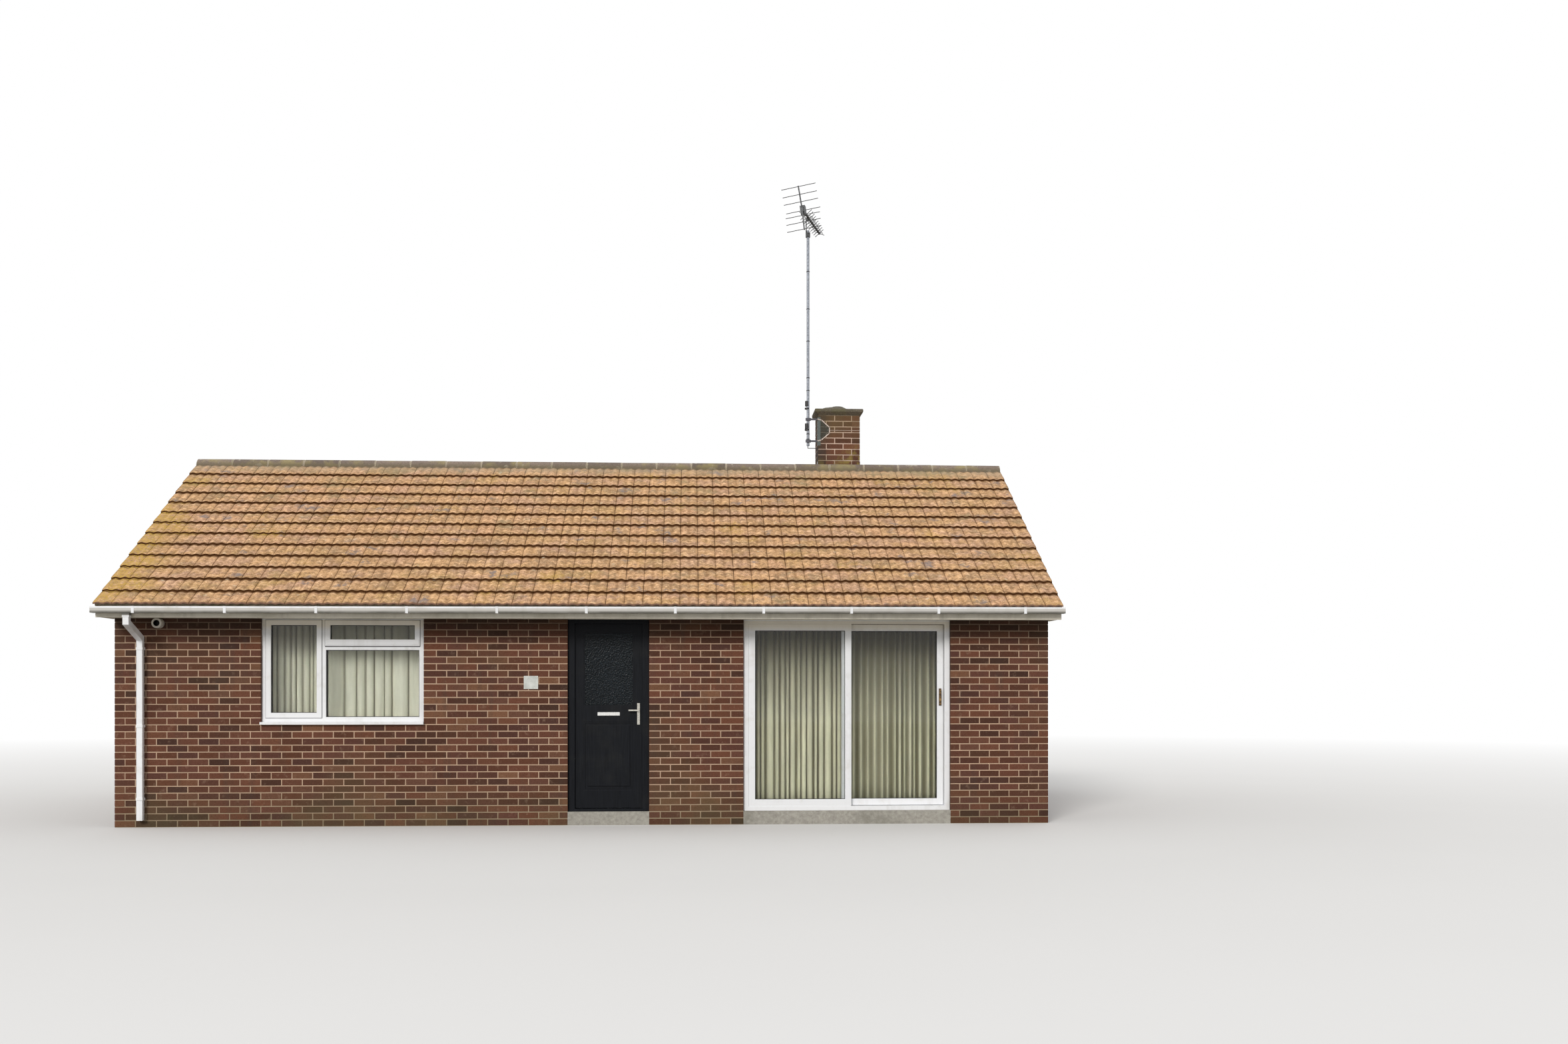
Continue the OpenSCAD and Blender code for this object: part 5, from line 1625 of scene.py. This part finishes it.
class BUNGALOW_OT_joinery(bpy.types.Operator):
    """Adds gaskets, painted shade in the sash gaps, drip rails, beads and mouldings to the windows and doors
    """

    bl_idname = "bungalow.joinery"
    bl_label = "Dress the windows and doors"

    def execute(self, context):
        bm = at_windows(window_gaskets)
        leaf_gasket(bm, "patio_fixed_leaf")
        add_piece("window_gaskets", bm, finish("rubber"))
        add_piece("sash_gap_shades", at_windows(sash_gap_shades), finish("rubber"))
        add_piece("drip_rails", at_windows(drip_rail), finish("plastic"))
        bm = bmesh.new()
        leaf_gasket(bm, "sliding_leaf")
        add_piece("sliding_gaskets", bm, finish("rubber"), body="patio_leaf")
        bm = bmesh.new()
        door_beads(bm)
        add_piece("door_beads", bm, finish("door"), body="front_door")
        return {"FINISHED"}


# Stage

def set_camera(scene):
    """The camera at the photograph's angle."""
    camera = bpy.data.cameras.new("camera")
    camera.sensor_width = 36.0
    camera.lens = 36.52
    camera.shift_y = 0.107
    camera.clip_end = 300.0
    scene.camera = put_in_scene("camera", camera)
    scene.camera.location = (1.11, -21.03, 1.51)
    scene.camera.rotation_euler = (math.radians(90), 0, math.radians(-3.41))


def set_lights(scene):
    """One soft lamp, and a world that is brighter where the camera, glass or metal sees it."""
    lamp = bpy.data.lights.new("key", "SUN")
    lamp.energy = 1.75
    lamp.angle = math.radians(16)
    lamp.color = (1.0, 0.975, 0.94)
    put_in_scene("key", lamp).rotation_euler = (math.radians(64), 0, math.radians(-20))

    scene.world = bpy.data.worlds.new("studio")
    scene.world.use_nodes = True
    m = Nodes(scene.world.node_tree)
    back = m.tree.nodes["Background"].inputs
    rays = m.node("ShaderNodeLightPath").outputs
    seen = m.calc("MAXIMUM", rays["Is Camera Ray"], rays["Is Glossy Ray"])
    seen = m.calc("MAXIMUM", seen, rays["Is Transmission Ray"])
    m.feed(back["Color"], (1.0, 1.0, 1.0))
    m.feed(back["Strength"], m.span(seen, 0.0, 1.0, 0.7, 1.0))


def set_floor():
    """A pale floor that fades to white far out and sends little light back to the house."""
    bm = bmesh.new()
    bmesh.ops.create_circle(bm, cap_ends=True, segments=96, radius=60.0)
    floor = put_in_scene("floor", mesh_from("floor", bm))
    m = Finish("studio_floor", 0.9, Specular_IOR_Level=0.1)
    seen = m.node("ShaderNodeLightPath").outputs["Is Camera Ray"]
    plain = m.mix(m.noise(0.4, 2.0, 0.5), (0.78, 0.775, 0.765), (0.8, 0.795, 0.785))
    m.feed(m.shader.inputs["Base Color"], m.mix(seen, (0.36, 0.35, 0.33), plain))
    distance = m.node("ShaderNodeVectorMath", operation="LENGTH")
    m.feed(distance.inputs[0], m.position())
    glow = m.node("ShaderNodeEmission")
    m.feed(glow.inputs["Color"], (1.0, 1.0, 1.0))
    blend = m.node("ShaderNodeMixShader")
    m.feed(blend.inputs[0], m.times(m.span(distance.outputs["Value"], 9.0, 34.0), seen))
    m.feed(blend.inputs[1], m.shader.outputs[0])
    m.feed(blend.inputs[2], glow.outputs[0])
    m.feed(m.tree.nodes["Material Output"].inputs["Surface"], blend.outputs[0])
    floor.data.materials.append(m.material)


class BUNGALOW_OT_stage(bpy.types.Operator):
    """Sets the camera, the soft light and the pale floor"""

    bl_idname = "bungalow.stage"
    bl_label = "Set the stage"

    def execute(self, context):
        set_camera(context.scene)
        set_lights(context.scene)
        set_floor()
        context.scene.view_settings.view_transform = "Standard"
        return {"FINISHED"}


class BUNGALOW_PT_panel(bpy.types.Panel):
    """Lists the building steps, the sizes and the colours in the sidebar"""

    bl_label = "Bungalow"
    bl_idname = "BUNGALOW_PT_panel"
    bl_space_type = "VIEW_3D"
    bl_region_type = "UI"
    bl_category = "Bungalow"

    def draw(self, context):
        layout = self.layout
        for step in STEPS:
            layout.operator(step.bl_idname)
        for group in (context.scene.bungalow_sizes, context.scene.bungalow_colours):
            for name in group.__annotations__:
                layout.prop(group, name)


STEPS = (BUNGALOW_OT_stage, BUNGALOW_OT_nodes, BUNGALOW_OT_bricks, BUNGALOW_OT_chimney, BUNGALOW_OT_aerial,
         BUNGALOW_OT_roof, BUNGALOW_OT_ridge, BUNGALOW_OT_curtains, BUNGALOW_OT_joinery)
CLASSES = (BungalowSizes, BungalowColours, *STEPS, BUNGALOW_PT_panel)


def register():
    """Registers the classes and their settings."""
    for item in CLASSES:
        bpy.utils.register_class(item)
    bpy.types.Scene.bungalow_sizes = PointerProperty(type=BungalowSizes)
    bpy.types.Scene.bungalow_colours = PointerProperty(type=BungalowColours)


def unregister():
    """Removes the classes and their settings."""
    del bpy.types.Scene.bungalow_colours
    del bpy.types.Scene.bungalow_sizes
    for item in reversed(CLASSES):
        bpy.utils.unregister_class(item)


def main():
    """Builds the whole scene."""
    register()
    bpy.ops.bungalow.stage()
    bpy.ops.bungalow.nodes()
    bpy.ops.bungalow.bricks()
    bpy.ops.bungalow.chimney()
    bpy.ops.bungalow.aerial()
    bpy.ops.bungalow.roof()
    bpy.ops.bungalow.ridge()
    bpy.ops.bungalow.curtains()
    bpy.ops.bungalow.joinery()


if __name__ == "__main__":
    main()
